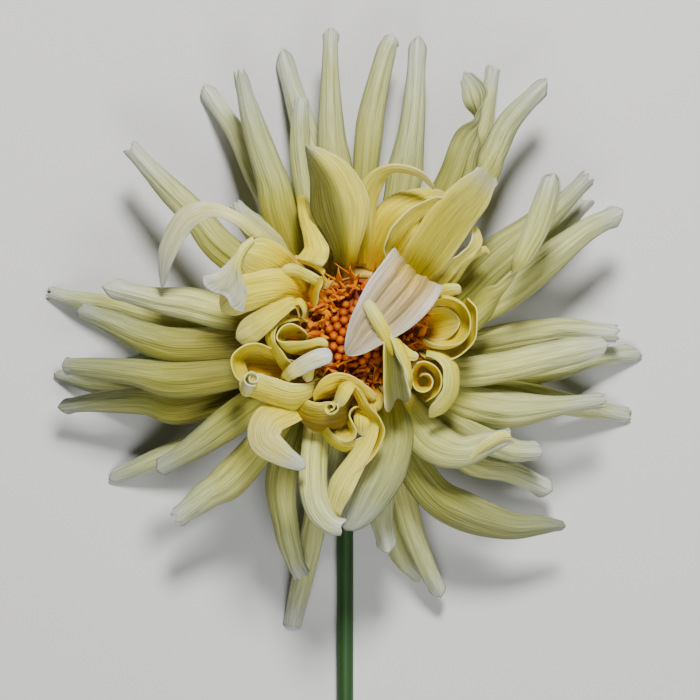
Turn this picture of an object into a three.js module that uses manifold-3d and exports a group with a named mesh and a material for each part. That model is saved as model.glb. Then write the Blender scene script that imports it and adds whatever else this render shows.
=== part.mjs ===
// A cut dahlia bloom lying face up on its stem: ray petals, disc florets, involucre and stem.
// Millimetres, +Z up. Everything is laid out round the middle of the bloom, with the stem
// towards -Y, and the whole is moved at the end so that its box stands centred on the origin.
import * as THREE from "three";
import { mergeVertices } from "three/addons/utils/BufferGeometryUtils.js";
import Module from "manifold-3d";

// ---- Driving dimensions -------------------------------------------------------------------

const MIDDLE = [3, 0.5];        // middle of the bloom
const GAP = 0.3;                // clearance between neighbouring pieces
const BLADE = 0.64;             // thickness of a petal
const SMALLEST = 0.14;          // facets finer than this are merged
const APART = 0.008;            // how far touching corners are set apart
const THINNEST = 0.8;           // least width of a petal at its tip
const STEPS = 60;               // fine steps along a petal's route, from root to tip
const RAY_ROWS = 4;             // facets along a ray petal
const COLS = 3;                 // facets across a petal or a bract
const INNER_ROWS = 5;           // facets along an inner petal
const RIBBON_COLS = 2;          // facets across a ribbon

const CORE_BOTTOM = 14.6;       // underside of the receptacle that the petals grow from
const CORE_TOP = 33.5;
const CORE_RADIUS = 16;
const ROOT_RADIUS = 13;         // the rays' roots start this far from the middle, inside the core

const DISC_FLOOR = 31.5;        // seat of the disc in the receptacle
const DISC_RADIUS = 13.4;
const DISC_RISE = 4.2;          // rise of its dome
const BUD_RADIUS = 1.1;
const BUD_COUNT = 64;
const FLORET_COUNT = 46;
const FLORET_LENGTH = 4.6;

const NECK_TOP = 10.4;          // top of the stem, under the involucre
const STEM_RADIUS = 2.1;
const STEM_X = -1.25;
const STEM_END = -125;          // the cut end

const CREAM = "#dcd8a4";
const ORANGE = "#d97a14";
const LEAF_GREEN = "#5d7d33";
const STEM_GREEN = "#1f4a1c";

// ---- Petals -------------------------------------------------------------------------------
// A ray lists its heights at the root, midway and at the tip, how far its edges roll back at
// even steps from root to tip, in degrees either side, and the route [x, y, visible width].
// An inner petal gives the compass heading that its back faces at the root instead, and a
// route [x, y, z, visible width]. turn is its twist about its own route, in degrees.
// A scroll is a petal rolled up round a route [x, y, z, outer radius], turns times.
// A ribbon is a petal seen by its edge, curled over or rolled into a cup: its rim is a route
// [x, y, z] of its upper edge, fall is how far its lower edge lies from that one at even
// steps, and bow is how far its middle stands off the straight line between the two.

const rays = [];
const inner = [];
const scrolls = [];
const ribbons = [];
const ray = (name, heights, roll, route, turn = [0]) =>
  rays.push({ name, heights, roll, route, turn });
const petal = (name, heading, roll, route, turn = [0]) =>
  inner.push({ name, heading, roll, route, turn });
const scroll = (name, turns, start, core, route) =>
  scrolls.push({ name, turns, start, core, route });
const ribbon = (name, bow, rim, fall) => ribbons.push({ name, bow, rim, fall });

const QUILL = [25, 45, 60, 80, 115];      // broad, then rolled into a quill at the tip
const SPOON = [25, 45, 60, 70, 35];       // opens again into a spoon
const LONG_QUILL = [30, 60, 90, 110, 125];

// towards the top
ray("T1", [19, 22, 1], LONG_QUILL,
    [[-12.5, 18.75, 5], [-23, 39.25, 6], [-28.75, 51.25, 5], [-37.25, 63.25, 3.6]]);
ray("T2", [24, 30, 20], QUILL,
    [[-12.5, 16.25, 6], [-17.25, 30, 9.5], [-19.25, 38.75, 8], [-23.5, 50.75, 6],
     [-27.75, 66.5, 2.4]]);
ray("T3", [20, 22, 1], LONG_QUILL,
    [[-3, 21.25, 5], [-7, 40, 7.5], [-11.25, 51.25, 6.5], [-17.5, 72.75, 3.6]]);
ray("T4", [26, 31, 24], LONG_QUILL,
    [[-6.25, 18.25, 5], [-9.5, 28.5, 5], [-12, 41.25, 5], [-12.5, 51.25, 4.5],
     [-12, 59.5, 2.6]]);
ray("T6", [22, 25, 15], QUILL,
    [[-1.25, 18.75, 6], [-3.25, 38.75, 8], [-4.75, 51.25, 6.5], [-5, 68.75, 3.8],
     [-4.75, 77.25, 3.2]]);
ray("T7", [22, 25, 14], QUILL,
    [[2.5, 21.25, 5], [4.25, 46.25, 6.5], [6, 58.75, 6], [9, 71.25, 4.5], [11, 75.5, 3.4]]);
ray("T8", [23, 27, 16], QUILL,
    [[8.75, 16.25, 6], [13, 36.25, 8.5], [14.5, 45, 8], [16, 56.25, 5.5], [17.25, 75.25, 3.6]]);
ray("T13", [26, 33, 30], [25, 45, 55, 50, 40, 40, 50],
    [[12.5, 15, 6], [25, 36.25, 8.75], [28.75, 46.25, 7.5], [32.2, 53.5, 6.4], [31, 60, 6.4],
     [28, 65.4, 1.6]], [0, 0, 0, 10, 90, 165, 180]);
ray("T14", [20, 23, 1], LONG_QUILL,
    [[20, 30, 5], [27.5, 42, 6], [33.25, 51.25, 5.2], [35.5, 61.25, 3.6], [36.75, 68.75, 3]]);
ray("T15", [23, 27, 18], QUILL,
    [[25, 23.75, 6], [33.25, 40, 7], [36.25, 46.25, 6.2], [40, 53.75, 5.5], [49.75, 64, 3.2]]);

// towards the right
ray("R1", [25, 28, 18], QUILL,
    [[26.25, 3.75, 7], [37.5, 9.5, 8], [48.75, 18.25, 7.75], [60, 26.75, 5.5], [68.75, 31, 4]]);
ray("R2", [20, 22, 9], LONG_QUILL,
    [[30, 8, 5], [42, 17.5, 5], [51.25, 25, 5], [60.75, 35.25, 3.8]]);
ray("R3", [24, 29, 22], QUILL,
    [[24.5, 7.5, 8], [35, 18.25, 10], [45, 26.25, 7.5], [52.5, 32.5, 4.8], [60, 40, 3.4]]);
ray("R4", [29, 37, 42], [25, 60, 85, 40, 45, 75],
    [[24, 0, 6], [33.75, 7.5, 6], [39.25, 12.5, 2.6], [42.5, 18.25, 5], [46.25, 26.25, 6.5],
     [48.75, 33.75, 6], [50.3, 39.6, 4.2]], [0, 0, 70, 165, 180, 180]);
ray("R6", [22, 24, 12], QUILL, [[28.75, -2.5, 7], [45, 0, 7.25], [55, 1.25, 6], [68, 0.5, 3.6]]);
ray("R7", [26, 31, 24], SPOON,
    [[26.25, -9, 7], [37.5, -8, 7.5], [47.5, -5.75, 7], [56.25, -3.75, 6.5],
     [64.5, -2.25, 3.4]]);
ray("R8", [19, 21, 1], LONG_QUILL,
    [[28, -10, 5], [42.5, -10, 6], [52.5, -8.75, 5.5], [62.5, -5.75, 4.6], [74.25, -4.5, 3.8]]);
ray("R9", [24, 29, 19], QUILL,
    [[23.75, -14.5, 7], [31, -17.25, 8.75], [39.75, -18.75, 9.25], [52, -17.75, 5],
     [64.25, -16.25, 3]]);
ray("R10", [19, 22, 1], LONG_QUILL,
    [[22.5, -12, 6], [39.25, -13.25, 6.5], [55, -17.5, 5.5], [63.5, -19, 4.5],
     [71.5, -20.75, 3.4]]);

// towards the lower right
ray("LR2", [28, 37, 31], SPOON,
    [[13.75, -18, 8], [20, -26, 10], [27.5, -28.75, 8], [34.5, -26.75, 5.5],
     [40.25, -24.75, 3.2]]);
ray("LR3", [23, 28, 20], QUILL,
    [[18.75, -15.5, 7], [29, -23.25, 8], [40, -28.75, 6], [48.25, -29.25, 4]]);
ray("LR4", [18, 21, 9], QUILL,
    [[19, -21, 6], [30, -32, 6], [40.5, -34.75, 5.2], [51, -39.5, 4.4]]);
ray("LR5", [25, 29, 14], [30, 45, 55, 60, 60],
    [[11, -24, 7], [20, -38.75, 9], [28.75, -44.5, 9.5], [40, -48.25, 7.5], [48.75, -48, 4.5],
     [54.25, -48, 1.6]]);
ray("LR6", [20, 22, 6], QUILL,
    [[10, -24, 6], [12.5, -36.75, 6.5], [15.5, -48.75, 6], [19.5, -59.25, 4.6],
     [23.25, -66.25, 3.4]]);
ray("LR7", [17, 17, 0.8], LONG_QUILL,
    [[7, -26, 5], [8.5, -43.75, 5], [12.5, -56.25, 4.5], [18, -62.5, 2.8]]);
ray("LR8", [25, 28, 22], LONG_QUILL,
    [[7, -22, 6], [8.25, -36.25, 6.5], [7.75, -45, 5.6], [9.5, -54.5, 4]]);
ray("LR9", [29, 40, 33], [15, 25, 32, 38, 30],
    [[8, -15, 9], [9, -24, 13], [6.5, -32, 14.5], [3.2, -39.5, 12.5], [-1.2, -48.3, 7]]);

// towards the lower left
ray("LB1", [26, 36, 40], QUILL,
    [[-7, -17, 6], [-8.5, -31.25, 7], [-8, -40, 7], [-5, -45.3, 5.4], [-1.25, -46.7, 3.6]]);
ray("LB3", [23, 27, 16], QUILL,
    [[-12.5, -20, 6], [-17.25, -36.25, 7.5], [-16, -48.75, 6.2], [-14, -56.75, 4.8],
     [-12, -61.25, 3.5]]);
ray("LB4", [18, 20, 0.8], LONG_QUILL,
    [[-4, -24, 5], [-7, -36.25, 5.5], [-9.5, -50, 5.5], [-12.5, -63.75, 5.2],
     [-15, -74.75, 4.2]]);
ray("LB5", [22, 28, 26], QUILL, [[-2, -18, 5], [-3, -28, 5.5], [-4.5, -37, 4]]);
ray("LL1", [23, 28, 19], QUILL,
    [[-15, -19, 7], [-28.75, -35, 8.75], [-36.25, -40.5, 7], [-44, -46.5, 4]]);
ray("LL2", [25, 31, 22], QUILL,
    [[-18, -12.5, 7], [-31.25, -22.5, 8], [-40, -28.75, 5.8], [-48.25, -33.75, 3.5]]);
ray("LL3", [19, 21, 0.8], LONG_QUILL,
    [[-22, -17, 5], [-37.5, -27, 5.5], [-50, -32, 4.8], [-61.25, -36.75, 3]]);

// towards the left and the upper left
ray("L1", [20, 24, 9], QUILL,
    [[-20, -12, 7], [-42, -18.25, 8], [-52.5, -16.5, 7], [-65, -17, 4.5], [-73.75, -18.25, 3]]);
ray("L2", [25, 30, 20], QUILL,
    [[-20, -7.5, 7], [-42, -10.75, 9.5], [-55, -9.25, 6.5], [-67.25, -8, 4.4],
     [-72, -7.75, 3.6]]);
ray("L3", [18, 20, 1], LONG_QUILL,
    [[-22, -10, 5], [-46, -14, 5.5], [-59.5, -13.5, 4.6], [-67.5, -12.25, 3.8],
     [-75.25, -9.75, 2.8]]);
ray("L4", [20, 24, 12], QUILL, [[-20, -3, 7], [-38, -5, 8], [-50, -6, 5], [-57, -7.5, 2.6]]);
ray("L5", [25, 31, 22], QUILL,
    [[-20, -1, 7], [-41.25, -2.5, 8], [-52, -0.25, 7.5], [-61.25, 3.75, 5], [-68, 6.5, 3.4]]);
ray("L6", [26, 34, 26], QUILL,
    [[-20, 4, 7], [-31.25, 5.5, 8], [-40.5, 7.75, 8], [-50, 9.25, 5.6], [-61.75, 12.25, 4]]);
ray("L7", [20, 22, 1], LONG_QUILL,
    [[-22, 2.5, 5], [-44.25, 3.25, 6], [-59.5, 7.25, 5], [-68.75, 8.9, 4],
     [-77.25, 10.75, 2.6]]);
ray("L8", [17, 17, 8], LONG_QUILL, [[-22, 1, 6], [-37, 2, 6], [-52, 3, 3]]);
ray("UL1", [21, 26, 17], QUILL,
    [[-14, 9, 7], [-31.25, 21.25, 8], [-38.75, 30, 7], [-46.25, 37.5, 5.6],
     [-55.75, 47.75, 3.4]]);
ray("UL7", [23, 30, 24], QUILL, [[-10, 12, 7], [-19, 22, 9], [-25, 28, 6], [-29, 33, 2.4]]);

// inner petals of the upper half
petal("T5", 95, [20, 20, 28, 24, 20],
      [[-2.5, 13.25, 31, 5], [-1, 20, 38, 6.5], [-2.25, 30, 44, 14.5], [-4.5, 37.5, 46.5, 12],
       [-8, 42.8, 47, 6.5], [-10.75, 46.25, 46, 0.9]], [0, -14]);
petal("T9", 80, [25, 30, 35, 45, 50],
      [[3, 17, 31, 5], [3.5, 28, 38, 5], [5.5, 36, 44, 5.5], [10, 39.75, 46, 5.5],
       [16.25, 39, 45, 4], [20.5, 35.75, 42, 1.4]], [0, 15, 50, 60]);
petal("T10", 65, [25, 30, 25, 15],
      [[6, 15.5, 31, 8], [9, 23, 36, 12], [13, 29, 38.5, 12], [19, 33, 37, 7],
       [24, 34.5, 34, 2]]);
petal("T12", 55, [25, 30, 30, 25, 15],
      [[14, 12.5, 32, 8], [19, 20, 38, 11], [25, 28.75, 41.5, 11], [30, 34.5, 42.5, 9.5],
       [34.25, 39.75, 42.5, 5]]);
petal("BP", 50, [16, 18, 20, 22, 24, 24, 20],
      [[14.5, 12, 32, 9], [15.8, 14.6, 39, 13], [15.9, 15.3, 45.5, 15.5],
       [13.6, 11.8, 48.6, 16.2], [9.5, 7, 48.9, 15], [5, 2, 48, 11], [1.6, -2.2, 46.8, 6.5],
       [-1, -5, 45.5, 1.4]]);
petal("TN", 30, [30, 40], [[18.5, 7, 34, 3], [23, 10.5, 38, 3.4], [27.3, 11.2, 39, 2.4]]);
petal("UL2", 135, [45, 60, 60, 30, 20],
      [[-7.8, 11.3, 30, 5], [-16.25, 17.5, 38, 4], [-22.5, 24.5, 44, 3.4],
       [-27.5, 28.75, 47, 3.4], [-33.75, 31, 47, 4.2], [-40.75, 28.25, 43.5, 6.5],
       [-45.5, 20, 38, 5.6], [-46.5, 11.5, 32, 0.9]], [0, 20, 40, 10, 0]);
petal("UL3", 140, [20, 30, 35, 35],
      [[-8.8, 9.6, 30.5, 6], [-15, 14.4, 37.5, 9], [-20, 17.6, 43.2, 10.4],
       [-26, 19.8, 46, 9.4]]);
ribbon("UV", -1,
       [[-23.8, 24, 45.6], [-26.6, 22, 46.8], [-28.4, 19.4, 46.8], [-30.4, 17.2, 46],
        [-33, 15.2, 45], [-35.6, 14.4, 44], [-37.2, 13.2, 43]],
       [[-0.8, -2, -0.6], [0.2, -3.6, -0.4], [1.8, -4.6, -0.8], [5, -5.8, -2.2],
        [8.6, -6.6, -3.4], [10.8, -8.2, -4], [10.4, -8.2, -3.6]]);
petal("UL5", 160, [25, 30, 35, 40],
      [[-9.4, 8.4, 31, 5], [-13.5, 11, 39.5, 8], [-18.75, 11.3, 43, 9.5], [-27, 9.25, 42, 9],
       [-31.5, 5.75, 37, 6]]);
petal("UL6", 190, [15, 20, 30, 40, 40],
      [[-12.2, 1, 33, 2.5], [-12.4, 5, 39, 3], [-13.6, 8, 43.8, 3], [-17.5, 6.2, 44.6, 4.4],
       [-21.5, 3.6, 43.6, 6], [-25, 1.2, 41, 6.8], [-28, -0.9, 38, 6]]);

// inner petals of the lower half
petal("C3", 26, [20, 40, 50, 55, 60],
      [[-9.6, -7.6, 31, 2], [-16.4, -11.2, 40, 1.8], [-15.2, -9.6, 44.8, 2.8],
       [-12.6, -7.9, 46.2, 3.9], [-10, -6.4, 47, 4.2], [-7.3, -5.3, 47.2, 4.2],
       [-4.4, -4.8, 46.8, 3.6]]);
petal("CL", 250, [20, 30, 40],
      [[-9, -6.6, 46.7, 2], [-10, -8.6, 44.8, 2.4], [-10.6, -11.4, 43, 2.8]]);
petal("C6", 245, [30, 55, 60, 55, 50],
      [[1.4, -12.8, 42, 2.2], [0.2, -11.5, 45.6, 3.4], [-1.5, -12.8, 46.8, 4.4],
       [-2.6, -15, 46.4, 4.2], [-3.6, -17.2, 44.8, 3.2]]);
petal("C8", 262, [60, 70, 75, 80],
      [[3.6, -15.5, 32, 4], [3.3, -18.8, 40, 4.2], [3.4, -21.6, 41.8, 4.2],
       [3.2, -24.8, 40, 3.4]]);
petal("G5", 285, [15, 25, 30],
      [[3.4, -12.4, 32, 5], [4.6, -14.5, 37, 6.4], [4.9, -17, 38.6, 6], [4.6, -19, 38, 4.4]]);
petal("GH", 117, [80, 110, 120, 110, 100],
      [[11.4, -5.6, 46.6, 1.8], [9.6, -1.8, 49, 2.8], [7.8, 1.6, 50.2, 3.3],
       [5.8, 5, 50.6, 3.4], [3.8, 8.3, 50.2, 3]]);
petal("GT", 335, [30, 40, 40],
      [[12, -3, 47, 2.6], [14.4, -4.9, 47.2, 2.4], [16.6, -5.5, 46.8, 1.9]]);
petal("U6", 300, [20, 30, 30],
      [[-14.6, 7.4, 44, 1.6], [-12.2, 8.2, 44.4, 2.1], [-10.9, 6, 43.6, 2],
       [-11.4, 3.9, 42, 1.3]]);
petal("LF9", 275, [20, 25, 25, 20],
      [[3, -15, 37, 3], [5.4, -20, 40.4, 2.8], [5, -24.8, 40.8, 3.6], [1.2, -31.2, 40.6, 5.6],
       [-2.5, -37.5, 40, 6.8], [-4, -43, 37, 4.5], [-3, -47.6, 34, 1.2]], [0, 30, 30, 20]);
petal("LB2", 245, [20, 30, 35, 30, 50],
      [[-8.5, -14, 31, 6], [-14, -17.5, 38, 8], [-20, -20.6, 42, 8.5], [-21, -25.6, 43.4, 8],
       [-16.6, -29.5, 43.4, 5.6], [-10.9, -32.6, 42.4, 2.4]]);

// small rolls, seen end on
scroll("B1", 1.4, 200, 0.3,
       [[-25.2, -13.5, 38, 1.9], [-24.6, -12, 42, 2.1], [-23.8, -10.5, 46, 2.1]]);
scroll("B2", 1.4, 300, 0.25,
       [[-3, -16.6, 41.5, 1.3], [-4, -17.4, 44, 1.6], [-4.9, -18, 46.6, 1.8]]);

// ribbons: petals seen by their edge, curled over or rolled into cups and scrolls
ribbon("T11", -0.3,
       [[8.6, 13.6, 34.5], [9.2, 17.4, 40], [8.4, 20.8, 42.6], [9.4, 24.6, 43.6],
        [11.8, 28.1, 43.8], [16.1, 31.7, 43.2], [21, 33.7, 42], [24.4, 33.2, 40.5]],
       [[0.4, -0.4, -4], [1.6, -0.3, -4], [2.2, -1, -4], [1.8, -2.4, -4], [-0.4, -2.4, -4]]);
ribbon("T16", -0.4,
       [[16, 8, 28], [20, 13.5, 33], [23.6, 18, 36.4], [26.4, 19.4, 37.6], [28.6, 21.2, 38.2],
        [30, 23.6, 38.4], [30.2, 26.2, 38]],
       [[3, -2, -1], [3.6, -1.6, -1.6], [4, 0, -1.8], [3.2, 0.6, -1.4], [0.8, 1, -0.8]]);
ribbon("T17", 0.5,
       [[17, 6, 26], [22, 13.6, 31], [26.2, 18.2, 33.6], [29, 20.3, 34.6], [31.2, 21.5, 35],
        [33.3, 21.8, 34.8], [34.4, 20.9, 34.2]],
       [[2, -2.4, -1], [1.4, -4.2, -1.6], [0.2, -3, -1.8], [0.4, -1.8, -1.5], [0.2, -1.1, -1]]);
ribbon("W2", 0.8,
       [[-10.6, 34, 30.5], [-9.6, 30, 37], [-8.4, 26.6, 41], [-6.6, 23.8, 43.4],
        [-5.1, 21, 44.6], [-5.6, 18.4, 44.8], [-6.6, 16.8, 44.2]],
       [[-2.6, 0, -0.6], [-3.2, 0, -0.8], [-4, 0, -1], [-5.6, -0.6, -1], [-7.6, 0.2, -1],
        [-6.8, 2.4, -0.8]]);
ribbon("W5", 0.5,
       [[-13.5, 19.5, 43.3], [-10.6, 18.6, 43.3], [-8.4, 17.6, 43.4], [-6.6, 16, 43.4],
        [-6.5, 14.6, 42.8], [-7, 13.4, 41]],
       [[1.5, -1.8, -1], [2, -2.6, -1.4], [0.6, -3.2, -2], [-1, -3, -4]]);
ribbon("W1", 0.6,
       [[-17.4, 15.4, 41], [-16, 16.9, 42.4], [-13.5, 17.3, 43], [-11, 16.4, 43.2],
        [-9, 15, 43.2], [-7, 14.1, 42.6]],
       [[0.3, -1.5, -0.8], [0.8, -3, -1.2], [1, -3.4, -2], [0, -2.5, -5]]);
ribbon("W3", 0.3,
       [[-6.9, 14.3, 43], [-6.8, 12.4, 42.4], [-7.5, 10, 41.4], [-8.3, 7.6, 40],
        [-8.8, 5.8, 38]],
       [[-3, -0.4, -2], [-2.6, 0, -5], [-1.2, -0.2, -8]]);
ribbon("W4", -0.5,
       [[-15, 6.6, 40], [-15.2, 4.6, 41.6], [-16.4, 3.3, 42], [-18, 2.8, 42], [-19.6, 3.1, 41]],
       [[-1.5, 0, -4], [-1, 1.8, -5], [0.5, 2, -4]]);
ribbon("C1", 0.6,
       [[-12.2, -3, 38.5], [-10.6, -0.6, 42.2], [-11.8, 1.6, 43.6], [-14.5, 2.5, 44.2],
        [-17.1, 1.5, 44.6], [-17.9, -0.5, 45], [-16.4, -1.8, 45.3], [-13.3, -1.7, 45.5],
        [-10, -1.2, 45.7], [-7, -0.8, 45.7], [-4.9, -1.8, 45.2]],
       [[0.4, 0, -8.5], [-1, -1.4, -6], [0, -3.2, -6], [2, -1.8, -6], [0.6, -3, -5],
        [-0.4, -3.2, -3], [-1, -1.8, -1.5]]);
ribbon("CB", 0.5,
       [[-10.4, 3, 38], [-13, 3.6, 41.4], [-15.8, 3, 42.8], [-18, 1.5, 43.4],
        [-18.4, -0.9, 43.6], [-17.3, -3.2, 43.6], [-15.8, -5.2, 43.2], [-14.4, -7, 42.4],
        [-13.5, -8.5, 41]],
       [[-0.4, 0.2, -7], [-1, 1.3, -5], [-2.2, 0.4, -4.4], [-2.1, -1.4, -4.2],
        [-1.6, -2.2, -4]]);
ribbon("C2", 0.8,
       [[-16.4, -4.2, 40], [-19.4, -3.3, 41.5], [-22.5, -2.3, 42.5], [-25.8, -2.5, 43],
        [-28.3, -4.6, 43.2], [-29.1, -7.2, 43.2], [-28.3, -9.9, 42.8], [-26.2, -11.8, 41.5]],
       [[0, -2.2, -4], [0.3, -2.6, -5.5], [2.2, -2, -6], [3.3, 0, -6], [2.6, 1.6, -5.5]]);
ribbon("CF", -1,
       [[-25.9, -4.8, 37.2], [-22, -4.6, 36.8], [-18, -5.4, 36.5], [-13.6, -6.6, 34]],
       [[1.2, -5.5, -2.5], [0.5, -6, -3], [2, -3, -3]]);
ribbon("C4", 1.7,
       [[-27.3, -11, 41.5], [-25, -9.8, 43], [-22, -9.5, 44], [-19, -10.4, 44.4],
        [-15.6, -11.5, 44.2], [-12, -12, 43.2], [-7.2, -10.8, 38.5]],
       [[0, -2, -4], [-0.6, -5.8, -5.5], [1.8, -7.6, -6.5], [1.4, -6.4, -6.5], [0.8, -1, -7]]);
ribbon("C5", 1,
       [[-9.2, -14.4, 40.8], [-7.4, -11.4, 42.8], [-5, -9.7, 43.9], [-2.6, -9.2, 44.3],
        [0, -9.9, 44], [2.4, -11.1, 43], [4.6, -12.8, 41.6], [6.6, -14.9, 39.6]],
       [[-0.2, -2.6, -2.5], [0.3, -5.6, -4.5], [1, -4.6, -5], [0.4, -4.6, -4.5],
        [-1.4, -1, -1.5]]);
ribbon("CW", 0.3,
       [[-8.2, -13.4, 41], [-5.6, -10.6, 43], [-2.6, -9.6, 43.8], [0.4, -10.4, 43.4],
        [3.2, -12, 41.8]],
       [[2, 0, -9], [0.6, -2.6, -10.8], [-0.6, -1.8, -9.5]]);
ribbon("C7", 2.2,
       [[-7, -10.8, 34.5], [-11, -14.4, 38], [-10.4, -16, 40.4], [-7.6, -16.6, 41.2],
        [-4.6, -16.4, 41.2], [-2, -16, 40.6], [-0.5, -14.6, 38]],
       [[0.5, -0.5, -4], [-0.8, -3, -4.5], [-0.8, -6.6, -6], [1, -7.6, -6.5], [1.6, -5.4, -5.5],
        [1, -1, -5]]);
ribbon("C9", 1.2,
       [[-2.5, -13.2, 34], [-5.6, -19, 37], [-5.2, -22.8, 38.8], [-2.4, -25.6, 40],
        [1.2, -25.9, 40], [3.6, -24, 39.4], [5, -21, 38]],
       [[-0.2, -1, -4], [-0.8, -2.2, -4.5], [0.2, -2.8, -5], [1.2, -2, -4.5], [0.8, -1, -4]]);
ribbon("CJ", 0.3,
       [[4.2, -19.4, 39], [3.3, -17.9, 41], [1.8, -17.5, 42], [0.5, -18.2, 42.4],
        [0, -19.8, 42.5], [0.7, -21.8, 42.4], [1.5, -23.8, 42], [0.9, -25.7, 41.4],
        [-1.4, -26.4, 40.6], [-4, -25, 39.5]],
       [[0, -1, -4], [0, -1.2, -5], [0.8, -0.4, -5.5], [-2, 1, -5], [-1.2, 2.8, -4],
        [0.5, 2, -3.5]]);
ribbon("LE", 0.3,
       [[0.2, -11.4, 46], [2.6, -13.4, 46], [4, -16, 45.2], [5.6, -18.4, 44.4],
        [7.6, -20.8, 43.6], [8.4, -23.8, 42.8], [7.4, -27.4, 42.2], [4.2, -31.6, 41.8],
        [-0.6, -36, 41]],
       [[-1.2, -0.6, -1.5], [-1.6, -1.8, -2.5], [-1.2, -0.6, -4], [-1.6, 0, -4],
        [-2.4, -0.4, -3]]);
ribbon("GP1", -2,
       [[9.9, 0.2, 49.6], [11.2, -4.4, 49.2], [13, -8, 48.4], [13.9, -11.3, 47.4],
        [14.7, -14, 46.4], [15.4, -16.4, 45.4]],
       [[-1.6, -0.3, -0.4], [-3, 0.2, -0.4], [-4.8, -0.2, -0.4], [-5.7, -1.5, -0.4],
        [-6.3, -2.7, -0.6], [-6.8, -3.9, -0.8]]);
ribbon("GP2", -0.5,
       [[8.6, 1.6, 48], [9.8, -1.2, 49.5], [11.3, -4.4, 49.5], [13, -8, 48.6],
        [13.9, -11.4, 47.4], [14, -13.2, 42], [12, -11.6, 35]],
       [[0.4, 0.2, -0.8], [2.4, 0.2, -1.8], [2, -0.2, -2.6], [0.8, 0, -4], [0.4, 1, -4.5]]);
ribbon("RC", -1.6,
       [[19, 7.4, 37.5], [22, 8.8, 41.4], [25.3, 8.5, 43.5], [28, 7, 44.2], [29.4, 3.8, 44.4],
        [29.2, 0.6, 44.2], [27, -1.9, 43.6], [23.9, -2.7, 43], [20.8, -2.2, 41.6],
        [17.8, -1, 38.5]],
       [[0.6, -0.6, -4], [-1, -2, -6], [-4, -1, -7.5], [-3.5, 2, -7], [-1, 1.8, -6.5],
        [0.5, 0.5, -4]]);
petal("RF", 0, [-15, -30, -40, -40],
      [[15.5, 1.6, 31, 6], [19.5, 2.2, 33.4, 8], [23.4, 2.8, 35.4, 8.4], [27, 3.2, 39.5, 7]]);
ribbon("RO", -0.6,
       [[29, 9, 39.5], [31, 6.2, 41], [31.2, 2, 41.4], [30.2, -1.9, 41.2], [27.4, -4.8, 40.8],
        [23.4, -6.2, 40.4], [19.4, -5.8, 40], [16.8, -4.6, 38.5]],
       [[-2, -1.5, -5], [-3, -0.5, -6.5], [-2.5, 1.5, -7], [-1, 2.5, -7], [0.5, 2.5, -6.5]]);
ribbon("SP", 0.4,
       [[18.5, -16.4, 40.5], [21.2, -14.8, 42], [22.3, -12.2, 43], [22, -9.4, 43.6],
        [20.7, -7.5, 44], [18.4, -6.6, 44.2], [16.3, -7.2, 44.2], [15.2, -9.1, 44.2],
        [15.3, -11.5, 44.2], [16.3, -13.3, 44.2], [18.1, -14, 44], [19.7, -13.3, 43.6],
        [20.2, -11.5, 43], [19.3, -9.9, 42.2], [17.9, -9.7, 41.4], [17.2, -10.7, 40.6]],
       [[0, 1.5, -6], [-1.2, 0, -6], [-0.7, -1.2, -6.5], [1.2, -0.6, -7], [1, 0.8, -7],
        [-0.8, 1, -6.5], [-0.6, -0.5, -6], [0.3, 0.3, -5]]);
ribbon("SO", -1.2,
       [[18.6, -5.4, 40], [21.4, -6.3, 42.5], [22.7, -8.4, 43.4], [22.9, -11.2, 43.6],
        [22.4, -13.8, 43.2], [20.9, -16.2, 42.4], [18.6, -17.6, 41]],
       [[0.4, 1.2, -6], [2, 1.6, -6.5], [3.8, 0.9, -7], [3.9, -1.2, -7.5], [2.8, -2.6, -7],
        [1, -2.8, -5]]);
ribbon("LX", 0.5,
       [[28.6, -32, 31.2], [29.8, -29.6, 32.4], [32.4, -26.4, 33.4], [36.2, -24, 33],
        [38.8, -23.8, 32.2], [39.8, -25, 31.4]],
       [[0.3, 0.3, -1], [1.4, -0.8, -1], [1.8, -2, -1], [1.2, -2.4, -1], [-0.2, -1.4, -0.8]]);

// ---- Shape helpers ------------------------------------------------------------------------

const wasm = await Module();
wasm.setup();
const UP = new THREE.Vector3(0, 0, 1);
const radians = THREE.MathUtils.degToRad;

// A spread number from 0 to 1 for a count, the same each time.
function spread(count) {
  const value = Math.sin(count * 12.9898) * 43758.5453;
  return value - Math.floor(value);
}

// Turns a closed geometry into a solid that can be joined and cut.
function solidOf(geometry) {
  const bare = geometry.clone();
  bare.deleteAttribute("normal");
  bare.deleteAttribute("uv");
  const merged = mergeVertices(bare, 1e-4);
  const mesh = new wasm.Mesh({
    numProp: 3,
    vertProperties: new Float32Array(merged.attributes.position.array),
    triVerts: new Uint32Array(merged.index.array),
  });
  return new wasm.Manifold(mesh);
}

// The solid as a geometry. Its corners are set a few microns apart, so that two sheets which
// only touch along an edge stay one closed surface.
function geometryOf(solid) {
  const mesh = solid.getMesh();
  mesh.vertProperties = mesh.vertProperties.map((value, k) => value + APART * (spread(k) - 0.5));
  const geometry = new THREE.BufferGeometry();
  geometry.setAttribute("position", new THREE.BufferAttribute(mesh.vertProperties, 3));
  geometry.setIndex(new THREE.BufferAttribute(mesh.triVerts, 1));
  geometry.computeVertexNormals();
  return geometry;
}

const join = (solids) => wasm.Manifold.union(solids);

// The largest body of a solid, with the pockets that petals close off between them filled.
function bodyOf(solid) {
  const bodies = solid.decompose();
  return bodies.reduce((best, body) => (body.volume() > best.volume() ? body : best));
}

// A solid of revolution about the vertical through (x, y), from a profile of [radius, z].
function turned(profile, sides, [x, y] = MIDDLE) {
  const points = profile.map(([radius, z]) => new THREE.Vector2(radius, z));
  const geometry = new THREE.LatheGeometry(points, sides);
  geometry.rotateX(Math.PI / 2);
  geometry.translate(x, y, 0);
  return solidOf(geometry);
}

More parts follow.
